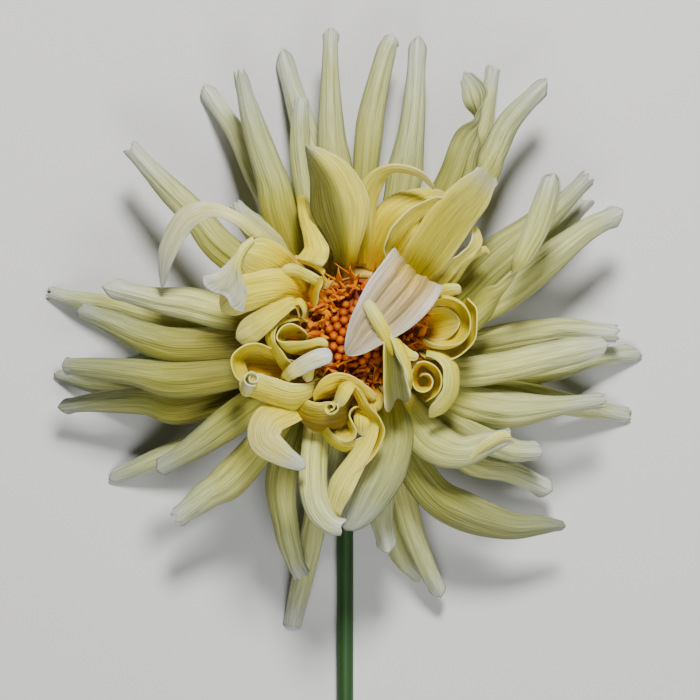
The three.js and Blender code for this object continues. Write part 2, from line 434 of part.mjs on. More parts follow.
// A value from an even list at t, from 0 at the root to 1 at the tip, eased between entries.
function along(list, t) {
  const place = t * (list.length - 1);
  const i = Math.min(Math.floor(place), list.length - 2);
  if (i < 0) return list[0];
  const f = place - i;
  return list[i] + (list[i + 1] - list[i]) * f * f * (3 - 2 * f);
}

// A smooth route through points of any number of values, by a uniform Catmull-Rom spline.
function routeAt(points, t) {
  const last = points.length - 1;
  const place = Math.min(Math.max(t, 0), 1) * last;
  const i = Math.min(Math.floor(place), last - 1);
  const f = place - i;
  const b = points[i];
  const c = points[i + 1];
  const a = i > 0 ? points[i - 1] : b.map((v, k) => 2 * v - c[k]);
  const d = i + 2 <= last ? points[i + 2] : c.map((v, k) => 2 * v - b[k]);
  return b.map((v, k) => 0.5 * (2 * v + (c[k] - a[k]) * f
    + (2 * a[k] - 5 * v + 4 * c[k] - d[k]) * f * f
    + (3 * v - a[k] - 3 * c[k] + d[k]) * f * f * f));
}

const vectorOf = ([x, y, z]) => new THREE.Vector3(x, y, z);

// The frames along a route: place, direction, the way across and the way its face looks.
function framesOf(points, heading, turn) {
  const places = [];
  for (let k = 0; k <= STEPS; k++) places.push(routeAt(points, k / STEPS));
  const out = new THREE.Vector3(Math.cos(heading), Math.sin(heading), 0);
  const across = new THREE.Vector3().crossVectors(UP, out);
  return places.map((here, k) => {
    const back = places[Math.max(k - 1, 0)];
    const next = places[Math.min(k + 1, STEPS)];
    const ahead = vectorOf(next).sub(vectorOf(back)).normalize();
    across.addScaledVector(ahead, -across.dot(ahead)).normalize();
    const twist = radians(along(turn, k / STEPS));
    const wide = across.clone().applyAxisAngle(ahead, twist);
    return {
      point: vectorOf(here),
      size: Math.max(here[3], THINNEST),
      wide,
      face: new THREE.Vector3().crossVectors(ahead, wide),
    };
  });
}

// A closed blade: its front and back are split into triangles alike.
function bladeOf(rows, cols, placeAt) {
  const positions = [];
  const index = [];
  const at = (side, i, j) => (side * (rows + 1) + i) * (cols + 1) + j;
  for (const side of [0, 1]) {
    for (let i = 0; i <= rows; i++) {
      for (let j = 0; j <= cols; j++) {
        const { point, normal } = placeAt(i / rows, (2 * j) / cols - 1);
        const offset = side ? -BLADE / 2 : BLADE / 2;
        positions.push(...point.addScaledVector(normal, offset).toArray());
      }
    }
  }
  const quad = (a, b, c, d) => index.push(a, b, c, a, c, d);
  for (let i = 0; i < rows; i++) {
    for (let j = 0; j < cols; j++) {
      quad(at(0, i, j), at(0, i + 1, j), at(0, i + 1, j + 1), at(0, i, j + 1));
      const [a, b, c, d] = [at(1, i, j), at(1, i + 1, j), at(1, i + 1, j + 1), at(1, i, j + 1)];
      index.push(a, c, b, a, d, c);
    }
    quad(at(1, i, 0), at(1, i + 1, 0), at(0, i + 1, 0), at(0, i, 0));
    quad(at(0, i, cols), at(0, i + 1, cols), at(1, i + 1, cols), at(1, i, cols));
  }
  for (let j = 0; j < cols; j++) {
    quad(at(0, 0, j), at(0, 0, j + 1), at(1, 0, j + 1), at(1, 0, j));
    quad(at(1, rows, j), at(1, rows, j + 1), at(0, rows, j + 1), at(0, rows, j));
  }
  const geometry = new THREE.BufferGeometry();
  geometry.setAttribute("position", new THREE.Float32BufferAttribute(positions, 3));
  geometry.setIndex(index);
  return geometry;
}

// A petal whose section is an arc: its edges roll back by the given angle on each side.
function petalBlade(points, heading, roll, turn, rows) {
  const frames = framesOf(points, heading, turn);
  return bladeOf(rows, COLS, (t, u) => {
    const frame = frames[Math.round(t * STEPS)];
    const half = Math.max(radians(along(roll, t)), 0.05);
    const radius = frame.size / 2 / (half < Math.PI / 2 ? Math.sin(half) : 1);
    const angle = u * half;
    const point = frame.point.clone();
    point.addScaledVector(frame.wide, radius * Math.sin(angle));
    point.addScaledVector(frame.face, radius * (Math.cos(angle) - 1));
    const normal = frame.face.clone().multiplyScalar(Math.cos(angle));
    normal.addScaledVector(frame.wide, Math.sin(angle));
    return { point, normal };
  });
}

// A ray's route with its heights filled in, and with its root inside the receptacle.
function rayRoute({ heights, route }) {
  const flat = route.map(([x, y, width]) => ({ x: x - MIDDLE[0], y: y - MIDDLE[1], width }));
  const first = flat[0];
  const reach = Math.hypot(first.x, first.y);
  const root = { x: (first.x * ROOT_RADIUS) / reach, y: (first.y * ROOT_RADIUS) / reach, width: 4 };
  const tip = flat[flat.length - 1];
  const span = Math.hypot(tip.x, tip.y) - ROOT_RADIUS;
  return [root, ...flat].map(({ x, y, width }) => {
    const s = Math.min((Math.hypot(x, y) - ROOT_RADIUS) / span, 1);
    const z = (1 - s) ** 2 * heights[0] + 2 * s * (1 - s) * heights[1] + s * s * heights[2];
    return [x + MIDDLE[0], y + MIDDLE[1], z, width];
  });
}

// A scroll: from its outer edge the blade winds in towards core times its outer radius.
function scrollBlade({ turns, start, core, route }) {
  const frames = framesOf(route, 0, [0]);
  const cols = Math.round(turns * 6);
  return bladeOf(3, cols, (t, u) => {
    const frame = frames[Math.round(t * STEPS)];
    const part = (u + 1) / 2;
    const angle = radians(start) - part * turns * 2 * Math.PI;
    const radius = frame.size * (1 - (1 - core) * part);
    const normal = frame.wide.clone().multiplyScalar(Math.cos(angle));
    normal.addScaledVector(frame.face, Math.sin(angle));
    return { point: frame.point.clone().addScaledVector(normal, radius), normal };
  });
}

// A ribbon: a blade between its rim and the edge that falls from it.
function ribbonBlade({ bow, rim, fall }) {
  const step = 1 / STEPS;
  const rimAt = (t) => vectorOf(routeAt(rim, t));
  const pointAt = (t, u) => {
    const drop = vectorOf(routeAt(fall, t));
    const ahead = rimAt(t + step).sub(rimAt(t - step));
    const side = drop.clone().cross(ahead).normalize();
    return rimAt(t).addScaledVector(drop, (1 - u) / 2).addScaledVector(side, bow * (1 - u * u));
  };
  return bladeOf(rim.length - 1, RIBBON_COLS, (t, u) => {
    const ahead = pointAt(Math.min(t + step, 1), u).sub(pointAt(Math.max(t - step, 0), u));
    const wide = pointAt(t, u + step).sub(pointAt(t, u - step));
    return { point: pointAt(t, u), normal: ahead.cross(wide).normalize() };
  });
}

// ---- Pieces -------------------------------------------------------------------------------

// Room that the petals leave for the disc florets, which lean outwards round its rim.
function discRoom() {
  return turned([
    [0, DISC_FLOOR - GAP], [DISC_RADIUS + GAP, DISC_FLOOR - GAP],
    [DISC_RADIUS + GAP, CORE_TOP], [DISC_RADIUS + 1.6, CORE_TOP + 4.5],
    [DISC_RADIUS - 3, CORE_TOP + 9], [0, CORE_TOP + 9.5],
  ], 28);
}

function makeRayPetals() {
  const core = turned([
    [0, CORE_BOTTOM], [9.5, CORE_BOTTOM], [14.6, CORE_BOTTOM + 1.2], [CORE_RADIUS, 22],
    [CORE_RADIUS, 30.5], [CORE_RADIUS - 1, CORE_TOP], [0, CORE_TOP],
  ], 24);
  const blades = [
    ...rays.map((row) => {
      const route = rayRoute(row);
      const [x, y] = route[1];
      const heading = Math.atan2(y - MIDDLE[1], x - MIDDLE[0]);
      return petalBlade(route, heading, row.roll, row.turn, RAY_ROWS);
    }),
    ...inner.map((row) =>
      petalBlade(row.route, radians(row.heading), row.roll, row.turn, INNER_ROWS)),
    ...scrolls.map(scrollBlade),
    ...ribbons.map(ribbonBlade),
  ].map(solidOf);
  const surface = solidOf(new THREE.BoxGeometry(400, 400, 20).translate(0, 0, -10));
  const bloom = join([core, ...blades]).subtract(discRoom()).subtract(surface);
  return bodyOf(bloom).asOriginal().simplify(SMALLEST);
}

// Round closed buds in a spiral over the dome, and open pointed florets leaning out round them.
function makeDiscFlorets() {
  const dome = (share) => DISC_FLOOR + 1.6 + DISC_RISE * (1 - share * share);
  const bottom = [[0, DISC_FLOOR], [DISC_RADIUS, DISC_FLOOR]];
  const top = [1, 0.8, 0.55, 0.3].map((share) => [DISC_RADIUS * share, dome(share)]);
  const pieces = [turned([...bottom, ...top, [0, dome(0)]], 20)];
  const goldenTurn = Math.PI * (3 - Math.sqrt(5));
  const count = BUD_COUNT + FLORET_COUNT;
  for (let k = 0; k < count; k++) {
    const share = Math.sqrt((k + 0.5) / count) * 0.96;
    const angle = k * goldenTurn;
    const isBud = k < BUD_COUNT;
    const shape = isBud
      ? new THREE.SphereGeometry(BUD_RADIUS, 5, 3).rotateX(Math.PI / 2).scale(1, 1, 1.3)
      : new THREE.ConeGeometry(0.75, FLORET_LENGTH, 4).rotateX(Math.PI / 2)
        .translate(0, 0, FLORET_LENGTH / 2 - 1);
    if (!isBud) {
      shape.rotateY(radians(10 + 22 * spread(k)));
      shape.rotateZ(angle + 1.6 * (spread(k + 500) - 0.5));
    }
    shape.translate(
      MIDDLE[0] + Math.cos(angle) * share * DISC_RADIUS * 0.97,
      MIDDLE[1] + Math.sin(angle) * share * DISC_RADIUS * 0.97,
      dome(share) + (isBud ? 0.35 : 0),
    );
    pieces.push(solidOf(shape));
  }
  return join(pieces);
}

// The green cup behind the rays: broad bracts pressed to them, and narrow ones bent back.
function makeInvolucre() {
  const top = CORE_BOTTOM - GAP;
  const bottom = NECK_TOP + GAP;
  const pieces = [turned([
    [0, bottom], [3.2, bottom], [5, bottom + 0.9], [9, top - 0.9], [9.2, top], [0, top],
  ], 12)];
  for (let k = 0; k < 8; k++) {
    const heading = (k + 0.5) * Math.PI / 4;
    const point = (radius, z, width) =>
      [MIDDLE[0] + Math.cos(heading) * radius, MIDDLE[1] + Math.sin(heading) * radius, z, width];
    pieces.push(solidOf(petalBlade(
      [point(5, top - 1.5, 5), point(9, top - 1.1, 6.4), point(12, top - 0.8, 5),
        point(14, top - 0.7, 1.6)],
      heading, [-6, -6, -4], [0], 3)));
  }
  for (let k = 0; k < 6; k++) {
    const heading = (k + 0.25) * Math.PI / 3;
    const point = (radius, z, width) =>
      [MIDDLE[0] + Math.cos(heading) * radius, MIDDLE[1] + Math.sin(heading) * radius, z, width];
    pieces.push(solidOf(petalBlade(
      [point(4, bottom + 1, 3), point(8, bottom + 1, 3.6), point(11.5, bottom - 1, 4),
        point(13, bottom - 4, 1.8)],
      heading, [20, 25, 20], [0], 3)));
  }
  return join(pieces);
}

// The stem lies along the surface and turns up under the bloom.
function makeStem() {
  const section = new THREE.Shape().absarc(0, 0, STEM_RADIUS, 0, 2 * Math.PI, false);
  const end = new THREE.Vector3(STEM_X, STEM_END, STEM_RADIUS);
  const bend = new THREE.Vector3(STEM_X, -19, STEM_RADIUS);
  const route = new THREE.CurvePath();
  route.add(new THREE.LineCurve3(end, bend));
  route.add(new THREE.CubicBezierCurve3(
    bend, new THREE.Vector3(STEM_X, -7, STEM_RADIUS),
    new THREE.Vector3(MIDDLE[0], MIDDLE[1] - 1.5, 1.5), new THREE.Vector3(...MIDDLE, NECK_TOP),
  ));
  return solidOf(new THREE.ExtrudeGeometry(section, {
    steps: 40, curveSegments: 5, bevelEnabled: false, extrudePath: route,
  }));
}

// ---- Assembly -----------------------------------------------------------------------------

const flower = new THREE.Group();

function addPiece(name, solid, color, roughness) {
  const material = new THREE.MeshStandardMaterial({ color, roughness, metalness: 0 });
  const mesh = new THREE.Mesh(geometryOf(solid), material);
  mesh.name = name;
  flower.add(mesh);
}

addPiece("ray_petals", makeRayPetals(), CREAM, 0.55);
addPiece("disc_florets", makeDiscFlorets(), ORANGE, 0.6);
addPiece("involucre", makeInvolucre(), LEAF_GREEN, 0.6);
addPiece("stem", makeStem(), STEM_GREEN, 0.5);

const box = new THREE.Box3().setFromObject(flower, true);
flower.position.set(-(box.min.x + box.max.x) / 2, -(box.min.y + box.max.y) / 2, -box.min.z);

export default flower;
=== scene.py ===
"""A cut cactus dahlia lying face up: ray petals, disc florets, involucre and stem, with their finish."""

import math
import random

import bmesh
import bpy
import numpy as np
from mathutils import Matrix, Vector


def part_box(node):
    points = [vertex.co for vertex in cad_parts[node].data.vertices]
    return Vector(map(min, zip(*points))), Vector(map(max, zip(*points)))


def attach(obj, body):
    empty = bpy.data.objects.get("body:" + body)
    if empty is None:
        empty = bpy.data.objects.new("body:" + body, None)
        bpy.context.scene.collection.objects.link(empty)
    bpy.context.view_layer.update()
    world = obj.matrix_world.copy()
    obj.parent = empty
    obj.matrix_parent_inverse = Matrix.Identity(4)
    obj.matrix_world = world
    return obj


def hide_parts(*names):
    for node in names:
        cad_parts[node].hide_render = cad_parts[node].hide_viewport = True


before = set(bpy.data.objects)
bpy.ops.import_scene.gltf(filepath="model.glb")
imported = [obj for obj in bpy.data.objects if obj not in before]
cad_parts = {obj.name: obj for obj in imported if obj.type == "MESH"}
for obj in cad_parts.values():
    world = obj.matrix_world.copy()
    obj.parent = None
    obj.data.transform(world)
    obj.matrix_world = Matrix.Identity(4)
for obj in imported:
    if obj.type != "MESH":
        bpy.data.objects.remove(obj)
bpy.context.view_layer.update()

# ---- Driving dimensions, in millimetres round the middle of the bloom ----------------------

MM = 0.001
MIDDLE = (3, 0.5)               # middle of the bloom, +Y away from the stem
STEM_X = -1.25
STEM_END = -125                 # the cut end of the stem
STEM_BEND = -19                 # where the stem starts to turn up towards the bloom
STEM_RADIUS = 2.1
NECK_TOP = 10.4                 # top of the stem, under the involucre

CORE_BOTTOM = 14.6              # the receptacle that the petals grow from
CORE_TOP = 33.5
CORE_RADIUS = 16
ROOT_RADIUS = 13                # the rays' roots start this far from the middle
ROOT_WIDTH = 4                  # of a ray there
GAP = 0.3                       # room between receptacle, disc, cup and stem

DISC_FLOOR = 31.5               # seat of the disc in the receptacle
DISC_RADIUS = 13.4
DISC_EDGE = 1.6                 # height of the disc at its edge
DISC_RISE = 4.2                 # how much higher its middle is
BUD_COUNT = 56                  # closed buds in the middle of the disc
BUD_RADIUS = 1.12
FLORET_COUNT = 72               # open florets round them
STRAND_WIDTH = 1.9              # of the long strands that lie over them

STEPS = 60                      # rows of a petal from root to tip
ACROSS = 26                     # columns of a petal
PETAL_THICKNESS = 0.36
NARROWEST = 0.8                 # a petal's section is never narrower than this
FIBRE_STRETCH = 0.045           # how slowly the veins change along a petal, against across it
SCROLL_COLUMNS = 26             # columns for each turn of a scroll
BRACT_THICKNESS = 0.5
BRACT_COLUMNS = 12
BRACT_STEPS = 24

CAMERA_HEIGHT = 1200
VIEW_WIDTH = 175                # breadth of the view at the level of the rays
VIEW_LEVEL = 20
VIEW_MIDDLE = (0, -3.75)
SENSOR_WIDTH = 36

# Where the layout stands in the frame: the stem's cut end and its two sides give it.
stem_low, stem_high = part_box("stem")
SHIFT_X = ((stem_low[0] + stem_high[0]) / MM - MIDDLE[0] - STEM_X) / 2
SHIFT_Y = stem_low[1] / MM - STEM_END


def placed(points):
    """Points of the layout, in millimetres, as metres in the frame."""
    return (np.asarray(points, float) + (SHIFT_X, SHIFT_Y, 0)) * MM


# ---- Petals -------------------------------------------------------------------------------
# A ray lists its heights at the root, midway and at the tip, how far its edges roll back at
# even steps from root to tip, in degrees either side, and its route [x, y, visible width].
# An inner petal gives the heading of its root instead, in degrees from +X, and a route
# [x, y, z, visible width]. turn is the twist of either about its own route, in degrees.
# A scroll is a petal rolled up round a route [x, y, z, outer radius], turns times, from the
# angle start in to the share core of its radius.
# A ribbon gives the points [x, y, z] of its upper edge, how far its lower edge lies from them at
# even steps [x, y, z], and its bow: how far the middle of its breadth swells.
# The letters of a name tell where the petal is: T at the top, R on the right, L on the left, LR and
# LX at the lower right, LB and LL at the lower left, U and UL at the upper left, W the wavy golden
# ones at the disc's upper left, C and B the curled group on its left and below it, with G5 inside,
# LE and LF the folded strip under that group, GH, GT and GP the narrow folded one over the disc's
# right half, RC, RF and RO the cup on its right, SP and SO the spiral below the cup, and BP the
# broad pearly sheet over the disc.

rays = []
inner = []
scrolls = []
ribbons = []


def ray(name, heights, roll, route, turn=(0,)):
    rays.append(dict(name=name, heights=heights, roll=roll, route=route, turn=turn))


def petal(name, heading, roll, route, turn=(0,)):
    inner.append(dict(name=name, heading=heading, roll=roll, route=route, turn=turn))


def scroll(name, turns, start, core, route):
    scrolls.append(dict(name=name, turns=turns, start=start, core=core, route=route))


def ribbon(name, bow, rim, fall):
    ribbons.append(dict(name=name, bow=bow, rim=rim, fall=fall))


QUILL = [25, 45, 60, 80, 115]          # broad, then rolled into a quill at the tip
SPOON = [25, 45, 60, 70, 35]           # opens again into a spoon
LONG_QUILL = [30, 60, 90, 110, 125]    # rolled for most of its length

# towards the top
ray("T1", [19, 22, 1], LONG_QUILL,
    [[-12.5, 18.75, 5], [-23, 39.25, 6], [-28.75, 51.25, 5], [-37.25, 63.25, 3.6]])
ray("T2", [24, 30, 20], QUILL,
    [[-12.5, 16.25, 6], [-17.25, 30, 9.5], [-19.25, 38.75, 8], [-23.5, 50.75, 6],
     [-27.75, 66.5, 2.4]])
ray("T3", [20, 22, 1], LONG_QUILL,
    [[-3, 21.25, 5], [-7, 40, 7.5], [-11.25, 51.25, 6.5], [-17.5, 72.75, 3.6]])
ray("T4", [26, 31, 24], LONG_QUILL,
    [[-6.25, 18.25, 5], [-9.5, 28.5, 5], [-12, 41.25, 5], [-12.5, 51.25, 4.5], [-12, 59.5, 2.6]])
ray("T6", [22, 25, 15], QUILL,
    [[-1.25, 18.75, 6], [-3.25, 38.75, 8], [-4.75, 51.25, 6.5], [-5, 68.75, 3.8],
     [-4.75, 77.25, 3.2]])
ray("T7", [22, 25, 14], QUILL,
    [[2.5, 21.25, 5], [4.25, 46.25, 6.5], [6, 58.75, 6], [9, 71.25, 4.5], [11, 75.5, 3.4]])
ray("T8", [23, 27, 16], QUILL,
    [[8.75, 16.25, 6], [13, 36.25, 8.5], [14.5, 45, 8], [16, 56.25, 5.5], [17.25, 75.25, 3.6]])
ray("T13", [26, 33, 30], [25, 45, 55, 50, 40, 40, 50],
    [[12.5, 15, 6], [25, 36.25, 8.75], [28.75, 46.25, 7.5], [32.2, 53.5, 6.4], [31, 60, 6.4],
     [28, 65.4, 1.6]], [0, 0, 0, 10, 90, 165, 180])
ray("T14", [20, 23, 1], LONG_QUILL,
    [[20, 30, 5], [27.5, 42, 6], [33.25, 51.25, 5.2], [35.5, 61.25, 3.6], [36.75, 68.75, 3]])
ray("T15", [23, 27, 18], QUILL,
    [[25, 23.75, 6], [33.25, 40, 7], [36.25, 46.25, 6.2], [40, 53.75, 5.5], [49.75, 64, 3.2]])

# towards the right
ray("R1", [25, 28, 18], QUILL,
    [[26.25, 3.75, 7], [37.5, 9.5, 8], [48.75, 18.25, 7.75], [60, 26.75, 5.5], [68.75, 31, 4]])
ray("R2", [20, 22, 9], LONG_QUILL, [[30, 8, 5], [42, 17.5, 5], [51.25, 25, 5], [60.75, 35.25, 3.8]])
ray("R3", [24, 29, 22], QUILL,
    [[24.5, 7.5, 8], [35, 18.25, 10], [45, 26.25, 7.5], [52.5, 32.5, 4.8], [60, 40, 3.4]])
ray("R4", [29, 37, 42], [25, 60, 85, 40, 45, 75],
    [[24, 0, 6], [33.75, 7.5, 6], [39.25, 12.5, 2.6], [42.5, 18.25, 5], [46.25, 26.25, 6.5],
     [48.75, 33.75, 6], [50.3, 39.6, 4.2]], [0, 0, 70, 165, 180, 180])
ray("R6", [22, 24, 12], QUILL, [[28.75, -2.5, 7], [45, 0, 7.25], [55, 1.25, 6], [68, 0.5, 3.6]])
ray("R7", [26, 31, 24], SPOON,
    [[26.25, -9, 7], [37.5, -8, 7.5], [47.5, -5.75, 7], [56.25, -3.75, 6.5], [64.5, -2.25, 3.4]])
ray("R8", [19, 21, 1], LONG_QUILL,
    [[28, -10, 5], [42.5, -10, 6], [52.5, -8.75, 5.5], [62.5, -5.75, 4.6], [74.25, -4.5, 3.8]])
ray("R9", [24, 29, 19], QUILL,
    [[23.75, -14.5, 7], [31, -17.25, 8.75], [39.75, -18.75, 9.25], [52, -17.75, 5],
     [64.25, -16.25, 3]])
ray("R10", [19, 22, 1], LONG_QUILL,
    [[22.5, -12, 6], [39.25, -13.25, 6.5], [55, -17.5, 5.5], [63.5, -19, 4.5], [71.5, -20.75, 3.4]])

# towards the lower right
ray("LR2", [28, 37, 31], SPOON,
    [[13.75, -18, 8], [20, -26, 10], [27.5, -28.75, 8], [34.5, -26.75, 5.5], [40.25, -24.75, 3.2]])
ray("LR3", [23, 28, 20], QUILL,
    [[18.75, -15.5, 7], [29, -23.25, 8], [40, -28.75, 6], [48.25, -29.25, 4]])
ray("LR4", [18, 21, 9], QUILL, [[19, -21, 6], [30, -32, 6], [40.5, -34.75, 5.2], [51, -39.5, 4.4]])
ray("LR5", [25, 29, 14], [30, 45, 55, 60, 60],
    [[11, -24, 7], [20, -38.75, 9], [28.75, -44.5, 9.5], [40, -48.25, 7.5], [48.75, -48, 4.5],
     [54.25, -48, 1.6]])
ray("LR6", [20, 22, 6], QUILL,
    [[10, -24, 6], [12.5, -36.75, 6.5], [15.5, -48.75, 6], [19.5, -59.25, 4.6], [23.25, -66.25, 3.4]])
ray("LR7", [17, 17, 0.8], LONG_QUILL,
    [[7, -26, 5], [8.5, -43.75, 5], [12.5, -56.25, 4.5], [18, -62.5, 2.8]])
ray("LR8", [25, 28, 22], LONG_QUILL,
    [[7, -22, 6], [8.25, -36.25, 6.5], [7.75, -45, 5.6], [9.5, -54.5, 4]])
ray("LR9", [29, 40, 33], [15, 25, 32, 38, 30],
    [[8, -15, 9], [9, -24, 13], [6.5, -32, 14.5], [3.2, -39.5, 12.5], [-1.2, -48.3, 7]])

# towards the lower left
ray("LB1", [26, 36, 40], QUILL,
    [[-7, -17, 6], [-8.5, -31.25, 7], [-8, -40, 7], [-5, -45.3, 5.4], [-1.25, -46.7, 3.6]])
ray("LB3", [23, 27, 16], QUILL,
    [[-12.5, -20, 6], [-17.25, -36.25, 7.5], [-16, -48.75, 6.2], [-14, -56.75, 4.8],
     [-12, -61.25, 3.5]])
ray("LB4", [18, 20, 0.8], LONG_QUILL,
    [[-4, -24, 5], [-7, -36.25, 5.5], [-9.5, -50, 5.5], [-12.5, -63.75, 5.2], [-15, -74.75, 4.2]])
ray("LB5", [22, 28, 26], QUILL, [[-2, -18, 5], [-3, -28, 5.5], [-4.5, -37, 4]])
ray("LL1", [23, 28, 19], QUILL,
    [[-15, -19, 7], [-28.75, -35, 8.75], [-36.25, -40.5, 7], [-44, -46.5, 4]])
ray("LL2", [25, 31, 22], QUILL,
    [[-18, -12.5, 7], [-31.25, -22.5, 8], [-40, -28.75, 5.8], [-48.25, -33.75, 3.5]])
ray("LL3", [19, 21, 0.8], LONG_QUILL,
    [[-22, -17, 5], [-37.5, -27, 5.5], [-50, -32, 4.8], [-61.25, -36.75, 3]])

# towards the left and the upper left
ray("L1", [20, 24, 9], QUILL,
    [[-20, -12, 7], [-42, -18.25, 8], [-52.5, -16.5, 7], [-65, -17, 4.5], [-73.75, -18.25, 3]])
ray("L2", [25, 30, 20], QUILL,
    [[-20, -7.5, 7], [-42, -10.75, 9.5], [-55, -9.25, 6.5], [-67.25, -8, 4.4], [-72, -7.75, 3.6]])
ray("L3", [18, 20, 1], LONG_QUILL,
    [[-22, -10, 5], [-46, -14, 5.5], [-59.5, -13.5, 4.6], [-67.5, -12.25, 3.8], [-75.25, -9.75, 2.8]])
ray("L4", [20, 24, 12], QUILL, [[-20, -3, 7], [-38, -5, 8], [-50, -6, 5], [-57, -7.5, 2.6]])
ray("L5", [25, 31, 22], QUILL,
    [[-20, -1, 7], [-41.25, -2.5, 8], [-52, -0.25, 7.5], [-61.25, 3.75, 5], [-68, 6.5, 3.4]])
ray("L6", [26, 34, 26], QUILL,
    [[-20, 4, 7], [-31.25, 5.5, 8], [-40.5, 7.75, 8], [-50, 9.25, 5.6], [-61.75, 12.25, 4]])
ray("L7", [20, 22, 1], LONG_QUILL,
    [[-22, 2.5, 5], [-44.25, 3.25, 6], [-59.5, 7.25, 5], [-68.75, 8.9, 4], [-77.25, 10.75, 2.6]])
ray("L8", [17, 17, 8], LONG_QUILL, [[-22, 1, 6], [-37, 2, 6], [-52, 3, 3]])
ray("UL1", [21, 26, 17], QUILL,
    [[-14, 9, 7], [-31.25, 21.25, 8], [-38.75, 30, 7], [-46.25, 37.5, 5.6], [-55.75, 47.75, 3.4]])
ray("UL7", [23, 30, 24], QUILL, [[-10, 12, 7], [-19, 22, 9], [-25, 28, 6], [-29, 33, 2.4]])

# inner petals of the upper half
petal("T5", 95, [20, 20, 28, 24, 20],
    [[-2.5, 13.25, 31, 5], [-1, 20, 38, 6.5], [-2.25, 30, 44, 14.5], [-4.5, 37.5, 46.5, 12],
     [-8, 42.8, 47, 6.5], [-10.75, 46.25, 46, 0.9]], [0, -14])
petal("T9", 80, [25, 30, 35, 45, 50],
    [[3, 17, 31, 5], [3.5, 28, 38, 5], [5.5, 36, 44, 5.5], [10, 39.75, 46, 5.5], [16.25, 39, 45, 4],
     [20.5, 35.75, 42, 1.4]], [0, 15, 50, 60])
petal("T10", 65, [25, 30, 25, 15],
    [[6, 15.5, 31, 8], [9, 23, 36, 12], [13, 29, 38.5, 12], [19, 33, 37, 7], [24, 34.5, 34, 2]])
petal("T12", 55, [25, 30, 30, 25, 15],
    [[14, 12.5, 32, 8], [19, 20, 38, 11], [25, 28.75, 41.5, 11], [30, 34.5, 42.5, 9.5],
     [34.25, 39.75, 42.5, 5]])
petal("BP", 50, [16, 18, 20, 22, 24, 24, 20],
    [[14.5, 12, 32, 9], [15.8, 14.6, 39, 13], [15.9, 15.3, 45.5, 15.5], [13.6, 11.8, 48.6, 16.2],
     [9.5, 7, 48.9, 15], [5, 2, 48, 11], [1.6, -2.2, 46.8, 6.5], [-1, -5, 45.5, 1.4]])
petal("TN", 30, [30, 40], [[18.5, 7, 34, 3], [23, 10.5, 38, 3.4], [27.3, 11.2, 39, 2.4]])
petal("UL2", 135, [45, 60, 60, 30, 20],
    [[-7.8, 11.3, 30, 5], [-16.25, 17.5, 38, 4], [-22.5, 24.5, 44, 3.4], [-27.5, 28.75, 47, 3.4],
     [-33.75, 31, 47, 4.2], [-40.75, 28.25, 43.5, 6.5], [-45.5, 20, 38, 5.6], [-46.5, 11.5, 32, 0.9]],
    [0, 20, 40, 10, 0])
petal("UL3", 140, [20, 30, 35, 35],
    [[-8.8, 9.6, 30.5, 6], [-15, 14.4, 37.5, 9], [-20, 17.6, 43.2, 10.4], [-26, 19.8, 46, 9.4]])
ribbon("UV", -1,
    [[-23.8, 24, 45.6], [-26.6, 22, 46.8], [-28.4, 19.4, 46.8], [-30.4, 17.2, 46], [-33, 15.2, 45],
     [-35.6, 14.4, 44], [-37.2, 13.2, 43]],
    [[-0.8, -2, -0.6], [0.2, -3.6, -0.4], [1.8, -4.6, -0.8], [5, -5.8, -2.2], [8.6, -6.6, -3.4],
     [10.8, -8.2, -4], [10.4, -8.2, -3.6]])
petal("UL5", 160, [25, 30, 35, 40],
    [[-9.4, 8.4, 31, 5], [-13.5, 11, 39.5, 8], [-18.75, 11.3, 43, 9.5], [-27, 9.25, 42, 9],
     [-31.5, 5.75, 37, 6]])
petal("UL6", 190, [15, 20, 30, 40, 40],
    [[-12.2, 1, 33, 2.5], [-12.4, 5, 39, 3], [-13.6, 8, 43.8, 3], [-17.5, 6.2, 44.6, 4.4],
     [-21.5, 3.6, 43.6, 6], [-25, 1.2, 41, 6.8], [-28, -0.9, 38, 6]])

# inner petals of the lower half
petal("C3", 26, [20, 40, 50, 55, 60],
    [[-9.6, -7.6, 31, 2], [-16.4, -11.2, 40, 1.8], [-15.2, -9.6, 44.8, 2.8], [-12.6, -7.9, 46.2, 3.9],
     [-10, -6.4, 47, 4.2], [-7.3, -5.3, 47.2, 4.2], [-4.4, -4.8, 46.8, 3.6]])
petal("CL", 250, [20, 30, 40], [[-9, -6.6, 46.7, 2], [-10, -8.6, 44.8, 2.4], [-10.6, -11.4, 43, 2.8]])
petal("C6", 245, [30, 55, 60, 55, 50],
    [[1.4, -12.8, 42, 2.2], [0.2, -11.5, 45.6, 3.4], [-1.5, -12.8, 46.8, 4.4], [-2.6, -15, 46.4, 4.2],
     [-3.6, -17.2, 44.8, 3.2]])
petal("C8", 262, [60, 70, 75, 80],
    [[3.6, -15.5, 32, 4], [3.3, -18.8, 40, 4.2], [3.4, -21.6, 41.8, 4.2], [3.2, -24.8, 40, 3.4]])
petal("G5", 285, [15, 25, 30],
    [[3.4, -12.4, 32, 5], [4.6, -14.5, 37, 6.4], [4.9, -17, 38.6, 6], [4.6, -19, 38, 4.4]])
petal("GH", 117, [80, 110, 120, 110, 100],
    [[11.4, -5.6, 46.6, 1.8], [9.6, -1.8, 49, 2.8], [7.8, 1.6, 50.2, 3.3], [5.8, 5, 50.6, 3.4],
     [3.8, 8.3, 50.2, 3]])
petal("GT", 335, [30, 40, 40], [[12, -3, 47, 2.6], [14.4, -4.9, 47.2, 2.4], [16.6, -5.5, 46.8, 1.9]])
petal("U6", 300, [20, 30, 30],
    [[-14.6, 7.4, 44, 1.6], [-12.2, 8.2, 44.4, 2.1], [-10.9, 6, 43.6, 2], [-11.4, 3.9, 42, 1.3]])
